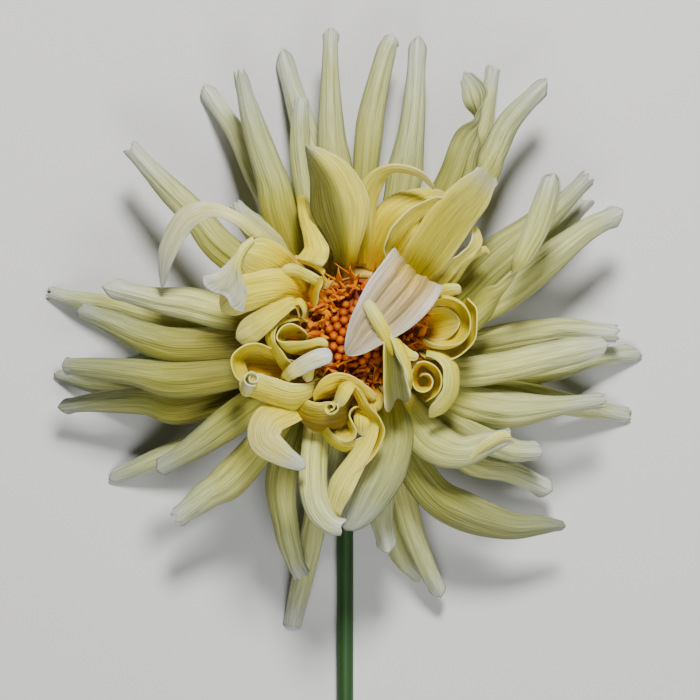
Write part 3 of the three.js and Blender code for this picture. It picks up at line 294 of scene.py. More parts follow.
petal("LF9", 275, [20, 25, 25, 20],
    [[3, -15, 37, 3], [5.4, -20, 40.4, 2.8], [5, -24.8, 40.8, 3.6], [1.2, -31.2, 40.6, 5.6],
     [-2.5, -37.5, 40, 6.8], [-4, -43, 37, 4.5], [-3, -47.6, 34, 1.2]], [0, 30, 30, 20])
petal("LB2", 245, [20, 30, 35, 30, 50],
    [[-8.5, -14, 31, 6], [-14, -17.5, 38, 8], [-20, -20.6, 42, 8.5], [-21, -25.6, 43.4, 8],
     [-16.6, -29.5, 43.4, 5.6], [-10.9, -32.6, 42.4, 2.4]])

# small rolls, seen end on
scroll("B1", 1.4, 200, 0.3, [[-25.2, -13.5, 38, 1.9], [-24.6, -12, 42, 2.1], [-23.8, -10.5, 46, 2.1]])
scroll("B2", 1.4, 300, 0.25, [[-3, -16.6, 41.5, 1.3], [-4, -17.4, 44, 1.6], [-4.9, -18, 46.6, 1.8]])

# ribbons: petals seen by their edge, curled over or rolled into cups and scrolls
ribbon("T11", -0.3,
    [[8.6, 13.6, 34.5], [9.2, 17.4, 40], [8.4, 20.8, 42.6], [9.4, 24.6, 43.6], [11.8, 28.1, 43.8],
     [16.1, 31.7, 43.2], [21, 33.7, 42], [24.4, 33.2, 40.5]],
    [[0.4, -0.4, -4], [1.6, -0.3, -4], [2.2, -1, -4], [1.8, -2.4, -4], [-0.4, -2.4, -4]])
ribbon("T16", -0.4,
    [[16, 8, 28], [20, 13.5, 33], [23.6, 18, 36.4], [26.4, 19.4, 37.6], [28.6, 21.2, 38.2],
     [30, 23.6, 38.4], [30.2, 26.2, 38]],
    [[3, -2, -1], [3.6, -1.6, -1.6], [4, 0, -1.8], [3.2, 0.6, -1.4], [0.8, 1, -0.8]])
ribbon("T17", 0.5,
    [[17, 6, 26], [22, 13.6, 31], [26.2, 18.2, 33.6], [29, 20.3, 34.6], [31.2, 21.5, 35],
     [33.3, 21.8, 34.8], [34.4, 20.9, 34.2]],
    [[2, -2.4, -1], [1.4, -4.2, -1.6], [0.2, -3, -1.8], [0.4, -1.8, -1.5], [0.2, -1.1, -1]])
ribbon("W2", 0.8,
    [[-10.6, 34, 30.5], [-9.6, 30, 37], [-8.4, 26.6, 41], [-6.6, 23.8, 43.4], [-5.1, 21, 44.6],
     [-5.6, 18.4, 44.8], [-6.6, 16.8, 44.2]],
    [[-2.6, 0, -0.6], [-3.2, 0, -0.8], [-4, 0, -1], [-5.6, -0.6, -1], [-7.6, 0.2, -1],
     [-6.8, 2.4, -0.8]])
ribbon("W5", 0.5,
    [[-13.5, 19.5, 43.3], [-10.6, 18.6, 43.3], [-8.4, 17.6, 43.4], [-6.6, 16, 43.4],
     [-6.5, 14.6, 42.8], [-7, 13.4, 41]],
    [[1.5, -1.8, -1], [2, -2.6, -1.4], [0.6, -3.2, -2], [-1, -3, -4]])
ribbon("W1", 0.6,
    [[-17.4, 15.4, 41], [-16, 16.9, 42.4], [-13.5, 17.3, 43], [-11, 16.4, 43.2], [-9, 15, 43.2],
     [-7, 14.1, 42.6]],
    [[0.3, -1.5, -0.8], [0.8, -3, -1.2], [1, -3.4, -2], [0, -2.5, -5]])
ribbon("W3", 0.3,
    [[-6.9, 14.3, 43], [-6.8, 12.4, 42.4], [-7.5, 10, 41.4], [-8.3, 7.6, 40], [-8.8, 5.8, 38]],
    [[-3, -0.4, -2], [-2.6, 0, -5], [-1.2, -0.2, -8]])
ribbon("W4", -0.5,
    [[-15, 6.6, 40], [-15.2, 4.6, 41.6], [-16.4, 3.3, 42], [-18, 2.8, 42], [-19.6, 3.1, 41]],
    [[-1.5, 0, -4], [-1, 1.8, -5], [0.5, 2, -4]])
ribbon("C1", 0.6,
    [[-12.2, -3, 38.5], [-10.6, -0.6, 42.2], [-11.8, 1.6, 43.6], [-14.5, 2.5, 44.2],
     [-17.1, 1.5, 44.6], [-17.9, -0.5, 45], [-16.4, -1.8, 45.3], [-13.3, -1.7, 45.5],
     [-10, -1.2, 45.7], [-7, -0.8, 45.7], [-4.9, -1.8, 45.2]],
    [[0.4, 0, -8.5], [-1, -1.4, -6], [0, -3.2, -6], [2, -1.8, -6], [0.6, -3, -5], [-0.4, -3.2, -3],
     [-1, -1.8, -1.5]])
ribbon("CB", 0.5,
    [[-10.4, 3, 38], [-13, 3.6, 41.4], [-15.8, 3, 42.8], [-18, 1.5, 43.4], [-18.4, -0.9, 43.6],
     [-17.3, -3.2, 43.6], [-15.8, -5.2, 43.2], [-14.4, -7, 42.4], [-13.5, -8.5, 41]],
    [[-0.4, 0.2, -7], [-1, 1.3, -5], [-2.2, 0.4, -4.4], [-2.1, -1.4, -4.2], [-1.6, -2.2, -4]])
ribbon("C2", 0.8,
    [[-16.4, -4.2, 40], [-19.4, -3.3, 41.5], [-22.5, -2.3, 42.5], [-25.8, -2.5, 43],
     [-28.3, -4.6, 43.2], [-29.1, -7.2, 43.2], [-28.3, -9.9, 42.8], [-26.2, -11.8, 41.5]],
    [[0, -2.2, -4], [0.3, -2.6, -5.5], [2.2, -2, -6], [3.3, 0, -6], [2.6, 1.6, -5.5]])
ribbon("CF", -1,
    [[-25.9, -4.8, 37.2], [-22, -4.6, 36.8], [-18, -5.4, 36.5], [-13.6, -6.6, 34]],
    [[1.2, -5.5, -2.5], [0.5, -6, -3], [2, -3, -3]])
ribbon("C4", 1.7,
    [[-27.3, -11, 41.5], [-25, -9.8, 43], [-22, -9.5, 44], [-19, -10.4, 44.4], [-15.6, -11.5, 44.2],
     [-12, -12, 43.2], [-7.2, -10.8, 38.5]],
    [[0, -2, -4], [-0.6, -5.8, -5.5], [1.8, -7.6, -6.5], [1.4, -6.4, -6.5], [0.8, -1, -7]])
ribbon("C5", 1,
    [[-9.2, -14.4, 40.8], [-7.4, -11.4, 42.8], [-5, -9.7, 43.9], [-2.6, -9.2, 44.3], [0, -9.9, 44],
     [2.4, -11.1, 43], [4.6, -12.8, 41.6], [6.6, -14.9, 39.6]],
    [[-0.2, -2.6, -2.5], [0.3, -5.6, -4.5], [1, -4.6, -5], [0.4, -4.6, -4.5], [-1.4, -1, -1.5]])
ribbon("CW", 0.3,
    [[-8.2, -13.4, 41], [-5.6, -10.6, 43], [-2.6, -9.6, 43.8], [0.4, -10.4, 43.4], [3.2, -12, 41.8]],
    [[2, 0, -9], [0.6, -2.6, -10.8], [-0.6, -1.8, -9.5]])
ribbon("C7", 2.2,
    [[-7, -10.8, 34.5], [-11, -14.4, 38], [-10.4, -16, 40.4], [-7.6, -16.6, 41.2],
     [-4.6, -16.4, 41.2], [-2, -16, 40.6], [-0.5, -14.6, 38]],
    [[0.5, -0.5, -4], [-0.8, -3, -4.5], [-0.8, -6.6, -6], [1, -7.6, -6.5], [1.6, -5.4, -5.5],
     [1, -1, -5]])
ribbon("C9", 1.2,
    [[-2.5, -13.2, 34], [-5.6, -19, 37], [-5.2, -22.8, 38.8], [-2.4, -25.6, 40], [1.2, -25.9, 40],
     [3.6, -24, 39.4], [5, -21, 38]],
    [[-0.2, -1, -4], [-0.8, -2.2, -4.5], [0.2, -2.8, -5], [1.2, -2, -4.5], [0.8, -1, -4]])
ribbon("CJ", 0.3,
    [[4.2, -19.4, 39], [3.3, -17.9, 41], [1.8, -17.5, 42], [0.5, -18.2, 42.4], [0, -19.8, 42.5],
     [0.7, -21.8, 42.4], [1.5, -23.8, 42], [0.9, -25.7, 41.4], [-1.4, -26.4, 40.6], [-4, -25, 39.5]],
    [[0, -1, -4], [0, -1.2, -5], [0.8, -0.4, -5.5], [-2, 1, -5], [-1.2, 2.8, -4], [0.5, 2, -3.5]])
ribbon("LE", 0.3,
    [[0.2, -11.4, 46], [2.6, -13.4, 46], [4, -16, 45.2], [5.6, -18.4, 44.4], [7.6, -20.8, 43.6],
     [8.4, -23.8, 42.8], [7.4, -27.4, 42.2], [4.2, -31.6, 41.8], [-0.6, -36, 41]],
    [[-1.2, -0.6, -1.5], [-1.6, -1.8, -2.5], [-1.2, -0.6, -4], [-1.6, 0, -4], [-2.4, -0.4, -3]])
ribbon("GP1", -2,
    [[9.9, 0.2, 49.6], [11.2, -4.4, 49.2], [13, -8, 48.4], [13.9, -11.3, 47.4], [14.7, -14, 46.4],
     [15.4, -16.4, 45.4]],
    [[-1.6, -0.3, -0.4], [-3, 0.2, -0.4], [-4.8, -0.2, -0.4], [-5.7, -1.5, -0.4], [-6.3, -2.7, -0.6],
     [-6.8, -3.9, -0.8]])
ribbon("GP2", -0.5,
    [[8.6, 1.6, 48], [9.8, -1.2, 49.5], [11.3, -4.4, 49.5], [13, -8, 48.6], [13.9, -11.4, 47.4],
     [14, -13.2, 42], [12, -11.6, 35]],
    [[0.4, 0.2, -0.8], [2.4, 0.2, -1.8], [2, -0.2, -2.6], [0.8, 0, -4], [0.4, 1, -4.5]])
ribbon("RC", -1.6,
    [[19, 7.4, 37.5], [22, 8.8, 41.4], [25.3, 8.5, 43.5], [28, 7, 44.2], [29.4, 3.8, 44.4],
     [29.2, 0.6, 44.2], [27, -1.9, 43.6], [23.9, -2.7, 43], [20.8, -2.2, 41.6], [17.8, -1, 38.5]],
    [[0.6, -0.6, -4], [-1, -2, -6], [-4, -1, -7.5], [-3.5, 2, -7], [-1, 1.8, -6.5], [0.5, 0.5, -4]])
petal("RF", 0, [-15, -30, -40, -40],
    [[15.5, 1.6, 31, 6], [19.5, 2.2, 33.4, 8], [23.4, 2.8, 35.4, 8.4], [27, 3.2, 39.5, 7]])
ribbon("RO", -0.6,
    [[29, 9, 39.5], [31, 6.2, 41], [31.2, 2, 41.4], [30.2, -1.9, 41.2], [27.4, -4.8, 40.8],
     [23.4, -6.2, 40.4], [19.4, -5.8, 40], [16.8, -4.6, 38.5]],
    [[-2, -1.5, -5], [-3, -0.5, -6.5], [-2.5, 1.5, -7], [-1, 2.5, -7], [0.5, 2.5, -6.5]])
ribbon("SP", 0.4,
    [[18.5, -16.4, 40.5], [21.2, -14.8, 42], [22.3, -12.2, 43], [22, -9.4, 43.6], [20.7, -7.5, 44],
     [18.4, -6.6, 44.2], [16.3, -7.2, 44.2], [15.2, -9.1, 44.2], [15.3, -11.5, 44.2],
     [16.3, -13.3, 44.2], [18.1, -14, 44], [19.7, -13.3, 43.6], [20.2, -11.5, 43], [19.3, -9.9, 42.2],
     [17.9, -9.7, 41.4], [17.2, -10.7, 40.6]],
    [[0, 1.5, -6], [-1.2, 0, -6], [-0.7, -1.2, -6.5], [1.2, -0.6, -7], [1, 0.8, -7], [-0.8, 1, -6.5],
     [-0.6, -0.5, -6], [0.3, 0.3, -5]])
ribbon("SO", -1.2,
    [[18.6, -5.4, 40], [21.4, -6.3, 42.5], [22.7, -8.4, 43.4], [22.9, -11.2, 43.6],
     [22.4, -13.8, 43.2], [20.9, -16.2, 42.4], [18.6, -17.6, 41]],
    [[0.4, 1.2, -6], [2, 1.6, -6.5], [3.8, 0.9, -7], [3.9, -1.2, -7.5], [2.8, -2.6, -7],
     [1, -2.8, -5]])
ribbon("LX", 0.5,
    [[28.6, -32, 31.2], [29.8, -29.6, 32.4], [32.4, -26.4, 33.4], [36.2, -24, 33],
     [38.8, -23.8, 32.2], [39.8, -25, 31.4]],
    [[0.3, 0.3, -1], [1.4, -0.8, -1], [1.8, -2, -1], [1.2, -2.4, -1], [-0.2, -1.4, -0.8]])

# ---- How each petal looks, where it differs from the others -----------------------------------
# How golden it is from its root outwards, 0 to 1.
COMMON_GOLD = 0.3
GOLD = {
    "L1": 0.5, "L2": 0.45, "L3": 0.4, "L4": 0.45, "L5": 0.5, "LL1": 0.36, "LL2": 0.45, "T1": 0.2,
    "T2": 0.5, "T8": 0.25, "UL1": 0.4, "LR2": 0.25, "LB1": 0.25, "R6": 0.25, "R7": 0.25,
    "T10": 0.6, "T12": 0.38, "T16": 0.2, "T17": 0.2, "BP": 0.15, "TN": 0.35,
    "W2": 0.45, "W3": 0.85, "W4": 0.8, "W5": 0.8, "UL2": 0.1, "UL3": 0.75, "UV": 0.05,
    "UL5": 0.55, "UL6": 0.4, "C1": 0.4, "CB": 0.5, "C2": 0.45, "CF": 0.8, "C3": 0.15, "C5": 0.7,
    "CW": 0.75, "C6": 0.4, "C7": 0.85, "C8": 0.55, "C9": 0.5, "CJ": 0.6, "B1": 0.2, "B2": 0.4,
    "G5": 0.75, "GH": 0.15, "GP1": 0.1, "GP2": 0.2, "LB2": 0.45, "LE": 0.7, "LF9": 0.25,
    "RC": 0.5, "RF": 0.85, "RO": 0.45, "SP": 0.6, "SO": 0.2, "LX": 0.1,
}

# How frosted it is, 0 to 1: over its outer half, at its tip, and at its edges with how close the
# frost keeps to them.
FROST = {"BP": 0.1, "C3": 0.6, "UL2": 0.4, "UV": 0.7, "LB2": 0.3, "GP1": 0.1, "B1": 0.4}
RAY_TIP_FROST = 0.8
INNER_TIP_FROST = 0.12
TIP_FROST = {"T12": 0.6, "T5": 0.5, "C3": 0.8, "UV": 1.0, "LB2": 0.8, "UL2": 0.6, "C6": 0.3,
             "LX": 0.8}
COMMON_EDGE_FROST = (0.2, 8)
EDGE_FROST = {"BP": (0.7, 3)}

# Painted shade: how grey-green and dark each petal is painted for the shadow it lies in, 0 to 2. A petal
# in the side table below is so on its -1 or +1 side only.
RAY_PAINTED_SHADE = 0.2
PAINTED_SHADE = {
    "L1": 0.7, "L2": 0.8, "L3": 0.6, "L4": 0.7, "L5": 0.75, "L6": 0.05, "LL2": 0.6, "T1": 0,
    "T2": 0.45, "T7": 0.35, "T8": 0.25, "T13": 0.45, "T15": 0.4, "R3": 0.5, "R6": 0, "R7": 0,
    "LR2": 0, "LR5": 0.95, "LR9": 0.6, "LB1": 0, "LB3": 0.5, "GP1": 2.0, "T5": 2.0, "T12": 0.8,
    "C9": 0.4, "C7": 1.4, "LE": 0.4, "LB2": 0.3, "RO": 0.25, "CJ": 0.2,
}
PAINTED_SHADE_SIDE = {"T5": 1}

# How deep its ribs are against a ray's, how far a ribbon's edges wave, in millimetres, and where
# raised pleats run, from -1 at one edge to 1 at the other.
INNER_RELIEF = 0.3
RELIEF = {"BP": 0.5, "UV": 0.9, "T5": 0.5, "T10": 0.5, "T12": 0.6, "LF9": 0.5}
COMMON_FRILL = 0.12
FRILL = {"W1": 0.35, "W2": 0.35, "W3": 0.3, "W5": 0.35, "CW": 0.3, "C1": 0.2}
PLEATS = {"BP": (-0.5, -0.08, 0.38)}

# Petals with a pearly skin.
PEARLY = ("BP",)

# Tips: an inner petal that keeps its teeth, rays and ribbons that end round, ribbons with lobes.
BLUNT = ("T12",)
ROUNDED = ("C1", "SO", "SP", "RO", "CJ", "T11", "T16", "T17", "LE", "LX", "R4", "LR9")
LOBED = ("GP1", "UV")


# ---- Form ---------------------------------------------------------------------------------

def between(t, last):
    """Which of last even steps t is in, 0 at the root and 1 at the tip, and how far into it."""
    place = np.clip(t, 0, 1) * last
    step = np.minimum(place.astype(int), last - 1)
    return step, place - step


def along(values, t):
    """A value from an even list at t, eased between entries."""
    values = np.asarray(values, float)
    if len(values) == 1:
        return np.full_like(t, values[0])
    i, f = between(t, len(values) - 1)
    return values[i] + (values[i + 1] - values[i]) * f * f * (3 - 2 * f)


def route_at(points, t):
    """A smooth route through points, by a uniform Catmull-Rom spline."""
    points = np.asarray(points, float)
    full = np.vstack([2 * points[0] - points[1], points, 2 * points[-1] - points[-2]])
    i, f = between(t, len(points) - 1)
    f = f[:, None]
    a, b, c, d = full[i], full[i + 1], full[i + 2], full[i + 3]
    return 0.5 * (2 * b + (c - a) * f + (2 * a - 5 * b + 4 * c - d) * f ** 2
                  + (3 * b - a - 3 * c + d) * f ** 3)


def unit(v):
    """Vectors at length 1."""
    return v / np.maximum(np.linalg.norm(v, axis=-1, keepdims=True), 1e-9)


def length_along(points):
    """Length of the line through points."""
    return np.linalg.norm(np.diff(points, axis=0), axis=1).sum()


def turned_about(v, axis, angle):
    """Each vector turned about its axis by its angle."""
    cos, sin = np.cos(angle)[:, None], np.sin(angle)[:, None]
    return v * cos + np.cross(axis, v) * sin


def frames_of(points, heading, turn):
    """Place, size, direction, the way across and the way the face looks, at each step."""
    t = np.linspace(0, 1, STEPS + 1)
    path = route_at(points, t)
    place = path[:, :3]
    ahead = unit(np.vstack([place[1] - place[0], place[2:] - place[:-2], place[-1] - place[-2]]))
    wide = np.zeros_like(ahead)
    across = np.array([-math.sin(heading), math.cos(heading), 0.0])
    for k in range(STEPS + 1):
        across = unit(across - across.dot(ahead[k]) * ahead[k])
        wide[k] = across
    wide = turned_about(wide, ahead, np.radians(along(turn, t)))
    return dict(place=place, size=np.maximum(path[:, 3], NARROWEST), ahead=ahead, wide=wide,
                face=np.cross(ahead, wide))


def frame_at(frames, t):
    """The frame at any t, between the steps."""
    i, f = between(t, STEPS)
    mixed = {}
    for key, rows in frames.items():
        g = f if rows.ndim == 1 else f[:, None]
        mixed[key] = rows[i] * (1 - g) + rows[i + 1] * g
    return mixed


def ray_route(heights, route):
    """A ray's route with its heights filled in, and with its root inside the receptacle."""
    flat = np.array(route, float)
    flat[:, :2] -= MIDDLE
    reach = np.hypot(flat[0, 0], flat[0, 1])
    root = [flat[0, 0] * ROOT_RADIUS / reach, flat[0, 1] * ROOT_RADIUS / reach, ROOT_WIDTH]
    flat = np.vstack([root, flat])
    distance = np.hypot(flat[:, 0], flat[:, 1])
    s = np.minimum((distance - ROOT_RADIUS) / (distance[-1] - ROOT_RADIUS), 1)
    z = (1 - s) ** 2 * heights[0] + 2 * s * (1 - s) * heights[1] + s * s * heights[2]
    return np.column_stack([flat[:, 0] + MIDDLE[0], flat[:, 1] + MIDDLE[1], z, flat[:, 2]])


def smoothstep(low, high, x):
    """0 below low and 1 above high, with a smooth rise between."""
    f = np.clip((x - low) / (high - low), 0, 1)
    return f * f * (3 - 2 * f)


def swell(x, width):
    """A smooth hump, 1 where x is 0."""
    return np.exp(-((x / width) ** 2))


def phase(draw):
    """A random start for a wave, in radians."""
    return draw.uniform(0, 6.28)


def round_end(t, cap):
    """How much of its breadth a rounded petal keeps at t, when its last share cap is its cap."""
    past = np.clip((t - 1 + cap) / cap, 0, 1)
    return np.sqrt(1 - past ** 2.4)


def petal_relief(u, t, width, draw):
    """Rise of the face above its plain form: two long pleats, finer ribs and an uneven edge."""
    lean = draw.uniform(-0.05, 0.05)
    body = smoothstep(0.0, 0.25, t) * (1 - 0.5 * smoothstep(0.75, 1.0, t))
    deep = draw.uniform(0.03, 0.05) * width
    rise = np.zeros_like(u)
    for middle in (-0.36 + lean, 0.32 + lean):
        wander = middle + draw.uniform(0.02, 0.07) * np.sin(4 * t + phase(draw))
        depth = draw.uniform(0.35, 1.0) * deep
        rise -= depth * swell(u - wander, draw.uniform(0.07, 0.12))
    rise += 0.4 * deep * swell(u - lean, 0.22)
    ribs = draw.randint(7, 10)
    rise += 0.1 * deep * np.sin(ribs * math.pi * u + phase(draw))
    dent = np.sin(draw.uniform(6, 10) * t + 2.2 * u + phase(draw))
    rise += 0.25 * deep * dent * np.sin(draw.uniform(9, 14) * t - 1.7 * u + phase(draw))
    edge = np.abs(u) ** 4
    waves = draw.uniform(2.0, 3.6)
    side = np.where(u > 0, phase(draw), phase(draw))
    wave = edge * 0.02 * width * np.sin(waves * 2 * math.pi * t + side)
    return rise * body + wave * smoothstep(0.1, 0.4, t)


def pleat_rise(u, t, width, places):
    """Raised pleats with a furrow beside each, fading towards the tip."""
    rise = np.zeros_like(u)
    for middle in places:
        rise += 0.034 * width * swell(u - middle, 0.05)
        rise -= 0.034 * width * swell(u - middle - 0.13, 0.08)
    return rise * smoothstep(0.15, 0.35, t) * (1 - smoothstep(0.6, 0.9, t))


def tip_reach(u, t, draw):
    """How far along the route a point lies: the tip ends in one, two or three small teeth."""
    notch = draw.uniform(0.015, 0.035)
    lean = draw.uniform(-0.2, 0.2)
    kind = draw.choice(("one", "one", "two", "three"))
    if kind == "one":
        teeth = 1.6 * np.minimum(np.abs(u + lean), 1)
    elif kind == "two":
        teeth = 1.2 * swell(u + lean, 0.35) + 0.3 * u ** 2
    else:
        teeth = 0.5 - 0.5 * np.cos((u + lean) * 3 * math.pi)
    return t * (1 - notch * teeth * smoothstep(0.85, 1.0, t))


def arc_petal(points, heading, roll, turn, name, relief, round_tip=False):
    """The surface of a petal whose section is an arc: a function of u across and t along."""
    frames = frames_of(points, heading, turn)
    cap = 0.55 * frames["size"][-6] / length_along(frames["place"])
    draw = random.Random("petal " + name)
    left, right = draw.uniform(0.94, 1.08), draw.uniform(0.94, 1.08)

    def surface(u, t):
        reach = t if round_tip else tip_reach(u, t, random.Random("tip " + name))
        f = frame_at(frames, reach)
        if round_tip:
            f["size"] = np.maximum(f["size"] * round_end(t, cap), 0.12)
        half = np.radians(along(roll, reach)) * np.where(u > 0, right, left)
        if not round_tip:
            half = half * (1 - 0.3 * smoothstep(0.92, 1.0, t))
            f["size"] = f["size"] * (1 + 0.16 * smoothstep(0.93, 1.0, t))
        sign = np.where(half < 0, -1.0, 1.0)
        bend = np.maximum(np.abs(half), 0.05)
        radius = f["size"] / 2 / np.where(bend < math.pi / 2, np.sin(bend), 1)
        angle = u * bend
        out = radius * np.sin(angle)
        down = sign * radius * (np.cos(angle) - 1)
        normal = f["face"] * np.cos(angle)[:, None] + f["wide"] * (sign * np.sin(angle))[:, None]
        rise = relief * petal_relief(u, t, f["size"], random.Random("relief " + name))
        rise = rise + pleat_rise(u, t, f["size"], PLEATS.get(name, ()))
        return (f["place"] + f["wide"] * out[:, None] + f["face"] * down[:, None]
                + normal * rise[:, None])

    return surface


def scroll_petal(turns, start, core, route, name):
    """The surface of a petal rolled up round its route, from its outer edge inwards."""
    frames = frames_of(route, 0, (0,))

    def surface(u, t):
        draw = random.Random("scroll " + name)
        part = (u + 1) / 2
        rim = 0.045 * np.sin(part * turns * 5.2 + phase(draw))
        f = frame_at(frames, t * (0.96 + rim))
        angle = math.radians(start) - part * turns * 2 * math.pi
        lip = 1 + 0.1 * smoothstep(0.84, 1.0, t)
        radius = f["size"] * (1 - (1 - core) * part) * lip
        radius = radius * (1 + 0.06 * np.sin(angle * 2 + phase(draw))
                           + 0.03 * np.sin(angle * 3 + phase(draw)))
        normal = f["wide"] * np.cos(angle)[:, None] + f["face"] * np.sin(angle)[:, None]
        return f["place"] + normal * radius[:, None]

    return surface


def ribbon_petal(rim, fall, bow, name):
    """The surface of a ribbon: u is 1 at its upper edge and -1 at its lower edge."""
    t = np.linspace(0, 1, STEPS + 1)
    path = length_along(route_at(rim, t) + route_at(fall, t) / 2)
    cap = 0.5 * np.linalg.norm(fall[-1]) / path
    step = 0.5 / STEPS

    def surface(u, t):
        lobes = 0.13 * swell(u, 0.4) + 0.14 * np.abs(u) ** 6
        reach = t * (1 - (name in LOBED) * lobes * smoothstep(0.6, 1.0, t))
        drop = route_at(fall, reach)
        ahead = route_at(rim, reach + step) - route_at(rim, reach - step)
        side = unit(np.cross(drop, ahead))
        breadth = np.linalg.norm(drop, axis=1)
        across = u * np.maximum(round_end(t, cap), 0.02) if name in ROUNDED else u
        rise = bow * (1 - across ** 2)
        draw = random.Random("relief " + name)
        rise = rise + RELIEF.get(name, INNER_RELIEF) * petal_relief(u, t, breadth, draw)
        rise = rise + FRILL.get(name, COMMON_FRILL) * u ** 2 * np.sin(path * t + phase(draw))
        return route_at(rim, reach) + drop * (0.5 - across / 2)[:, None] + side * rise[:, None]

    return surface


# ---- Meshes -------------------------------------------------------------------------------

def mesh_object(name, bm, materials, smooth=True):
    """A piece of the scene from a finished bmesh."""
    mesh = bpy.data.meshes.new(name)
    bm.to_mesh(mesh)
    bm.free()
    if smooth:
        mesh.polygons.foreach_set("use_smooth", [True] * len(mesh.polygons))
    piece = bpy.data.objects.new(name, mesh)
    bpy.context.scene.collection.objects.link(piece)
    for material in materials:
        mesh.materials.append(material)
    return piece


def point_value(piece, label, kind, values):
    """Keeps a value for every point of a piece, for its material to read."""
    layer = piece.data.attributes.new(label, kind, "POINT")
    field = "vector" if kind == "FLOAT_VECTOR" else "value"
    layer.data.foreach_set(field, values.astype(np.float32).ravel())


def sheet_object(name, surface, columns, rows, tints, materials, thickness):
    """A thin sheet laid over a surface, with its across and along values kept as its UV map."""
    bm = bmesh.new()
    bm.loops.layers.uv.new("across_along")
    bmesh.ops.create_grid(bm, x_segments=columns, y_segments=rows, size=1, calc_uvs=True)
    flat = np.array([v.co[:] for v in bm.verts])
    u, t = flat[:, 0], (flat[:, 1] + 1) / 2
    where = surface(u, t)
    breadth = length_along(surface(np.linspace(-1, 1, 40), np.full(40, 0.45)))
    length = length_along(surface(np.zeros(40), np.linspace(0, 1, 40)))
    where[:, 2] = np.maximum(where[:, 2], thickness / 2 + 0.02)
    for v, co in zip(bm.verts, placed(where)):
        v.co = co
    piece = mesh_object(name, bm, materials)
    for label, tint in tints.items():
        point_value(piece, label, "FLOAT", tint(u, t, where))
    apart = np.full_like(u, random.Random("fibre " + name).uniform(0, 90))
    fibre = np.column_stack([u * breadth / 2, t * length * FIBRE_STRETCH, apart])
    point_value(piece, "fibre", "FLOAT_VECTOR", fibre)
    solid = piece.modifiers.new("thickness", "SOLIDIFY")
    solid.thickness = thickness * MM
    solid.offset = 0
    solid.material_offset = 1
    solid.material_offset_rim = 0
    return piece


def petal_object(surface, row, kind, columns=ACROSS):
    """A petal, golden from its root and frosted white towards its tip and along its edges."""
    name = row["name"]
    gold = GOLD.get(name, COMMON_GOLD)
    frost = FROST.get(name, 0)
    tip = TIP_FROST.get(name, RAY_TIP_FROST if kind == "ray" else INNER_TIP_FROST)
    edge, closeness = EDGE_FROST.get(name, COMMON_EDGE_FROST)
    painted_shade = PAINTED_SHADE.get(name, RAY_PAINTED_SHADE if kind == "ray" else 0)
    side = PAINTED_SHADE_SIDE.get(name, 0)

    def gold_at(u, t, where):
        distance = np.hypot(where[:, 0] - MIDDLE[0], where[:, 1] - MIDDLE[1])
        if kind == "ribbon":
            low = 1 - smoothstep(DISC_RADIUS - 2, DISC_RADIUS + 8, distance)
            return np.clip(gold * (1.1 - 0.4 * u) + 0.2 * low * (1 - u) / 2, 0, 1)
        low = 1 - smoothstep(DISC_RADIUS + 1, DISC_RADIUS + 14, distance)
        outwards = smoothstep(0.18, 0.9, t) if kind == "ray" else 0.6 * smoothstep(0.3, 0.95, t)
        return np.clip(gold * (1 - outwards) + 0.6 * low * (1 - t) ** 2, 0, 1)

    def frost_at(u, t, where):
        return np.clip(tip * smoothstep(0.76, 1.0, t) + edge * np.abs(u) ** closeness
                       + frost * smoothstep(0.25, 0.6, t), 0, 1)

    # Painted shade: a ray is darker in its grooves, towards its edges where they turn from the light and
    # near its root where the others shade it; an inner petal is darker over its middle or on one side,
    # and in the furrows beside its pleats.
    def painted_shade_at(u, t, where):
        if kind == "ray":
            groove_shade = swell(np.abs(u) - 0.34, 0.12)
            return np.clip(painted_shade + 0.2 * groove_shade * smoothstep(0, 0.3, t)
                           + 0.5 * smoothstep(0.5, 1, np.abs(u))
                           + 0.6 * (1 - smoothstep(0.05, 0.5, t)), 0, 1)
        if side:
            return painted_shade * smoothstep(-0.4, 0.3, side * u)
        furrow_shade = sum(swell(u - place - 0.12, 0.07) for place in PLEATS.get(name, ()))
        return painted_shade * (1 - u ** 4) + 0.55 * furrow_shade

    tints = {"gold": gold_at, "frost": frost_at, "painted_shade": painted_shade_at}
    materials = [petal_face, petal_back] if kind == "ray" else [inner_face, inner_back]
    if name in PEARLY:
        materials = [pearl, pearl]
    return sheet_object(f"{kind}_{name}", surface, columns, STEPS, tints, materials,
                        PETAL_THICKNESS)


def make_petals():
    """Every petal of the table as a piece of its own."""
    pieces = []
    for row in rays:
        name = row["name"]
        points = ray_route(row["heights"], row["route"])
        x, y = points[1, 0] - MIDDLE[0], points[1, 1] - MIDDLE[1]
        surface = arc_petal(points, math.atan2(y, x), row["roll"], row["turn"], name,
                            RELIEF.get(name, 1), name in ROUNDED)
        pieces.append(petal_object(surface, row, "ray"))
    for row in inner:
        name = row["name"]
        surface = arc_petal(row["route"], math.radians(row["heading"]), row["roll"], row["turn"],
                            name, RELIEF.get(name, INNER_RELIEF), name not in BLUNT)
        columns = 2 * ACROSS if name in PLEATS else ACROSS
        pieces.append(petal_object(surface, row, "inner", columns))
    for row in scrolls:
        surface = scroll_petal(row["turns"], row["start"], row["core"], row["route"], row["name"])
        pieces.append(petal_object(surface, row, "scroll", round(SCROLL_COLUMNS * row["turns"])))
    for row in ribbons:
        surface = ribbon_petal(row["rim"], row["fall"], row["bow"], row["name"])
        pieces.append(petal_object(surface, row, "ribbon"))
    return pieces


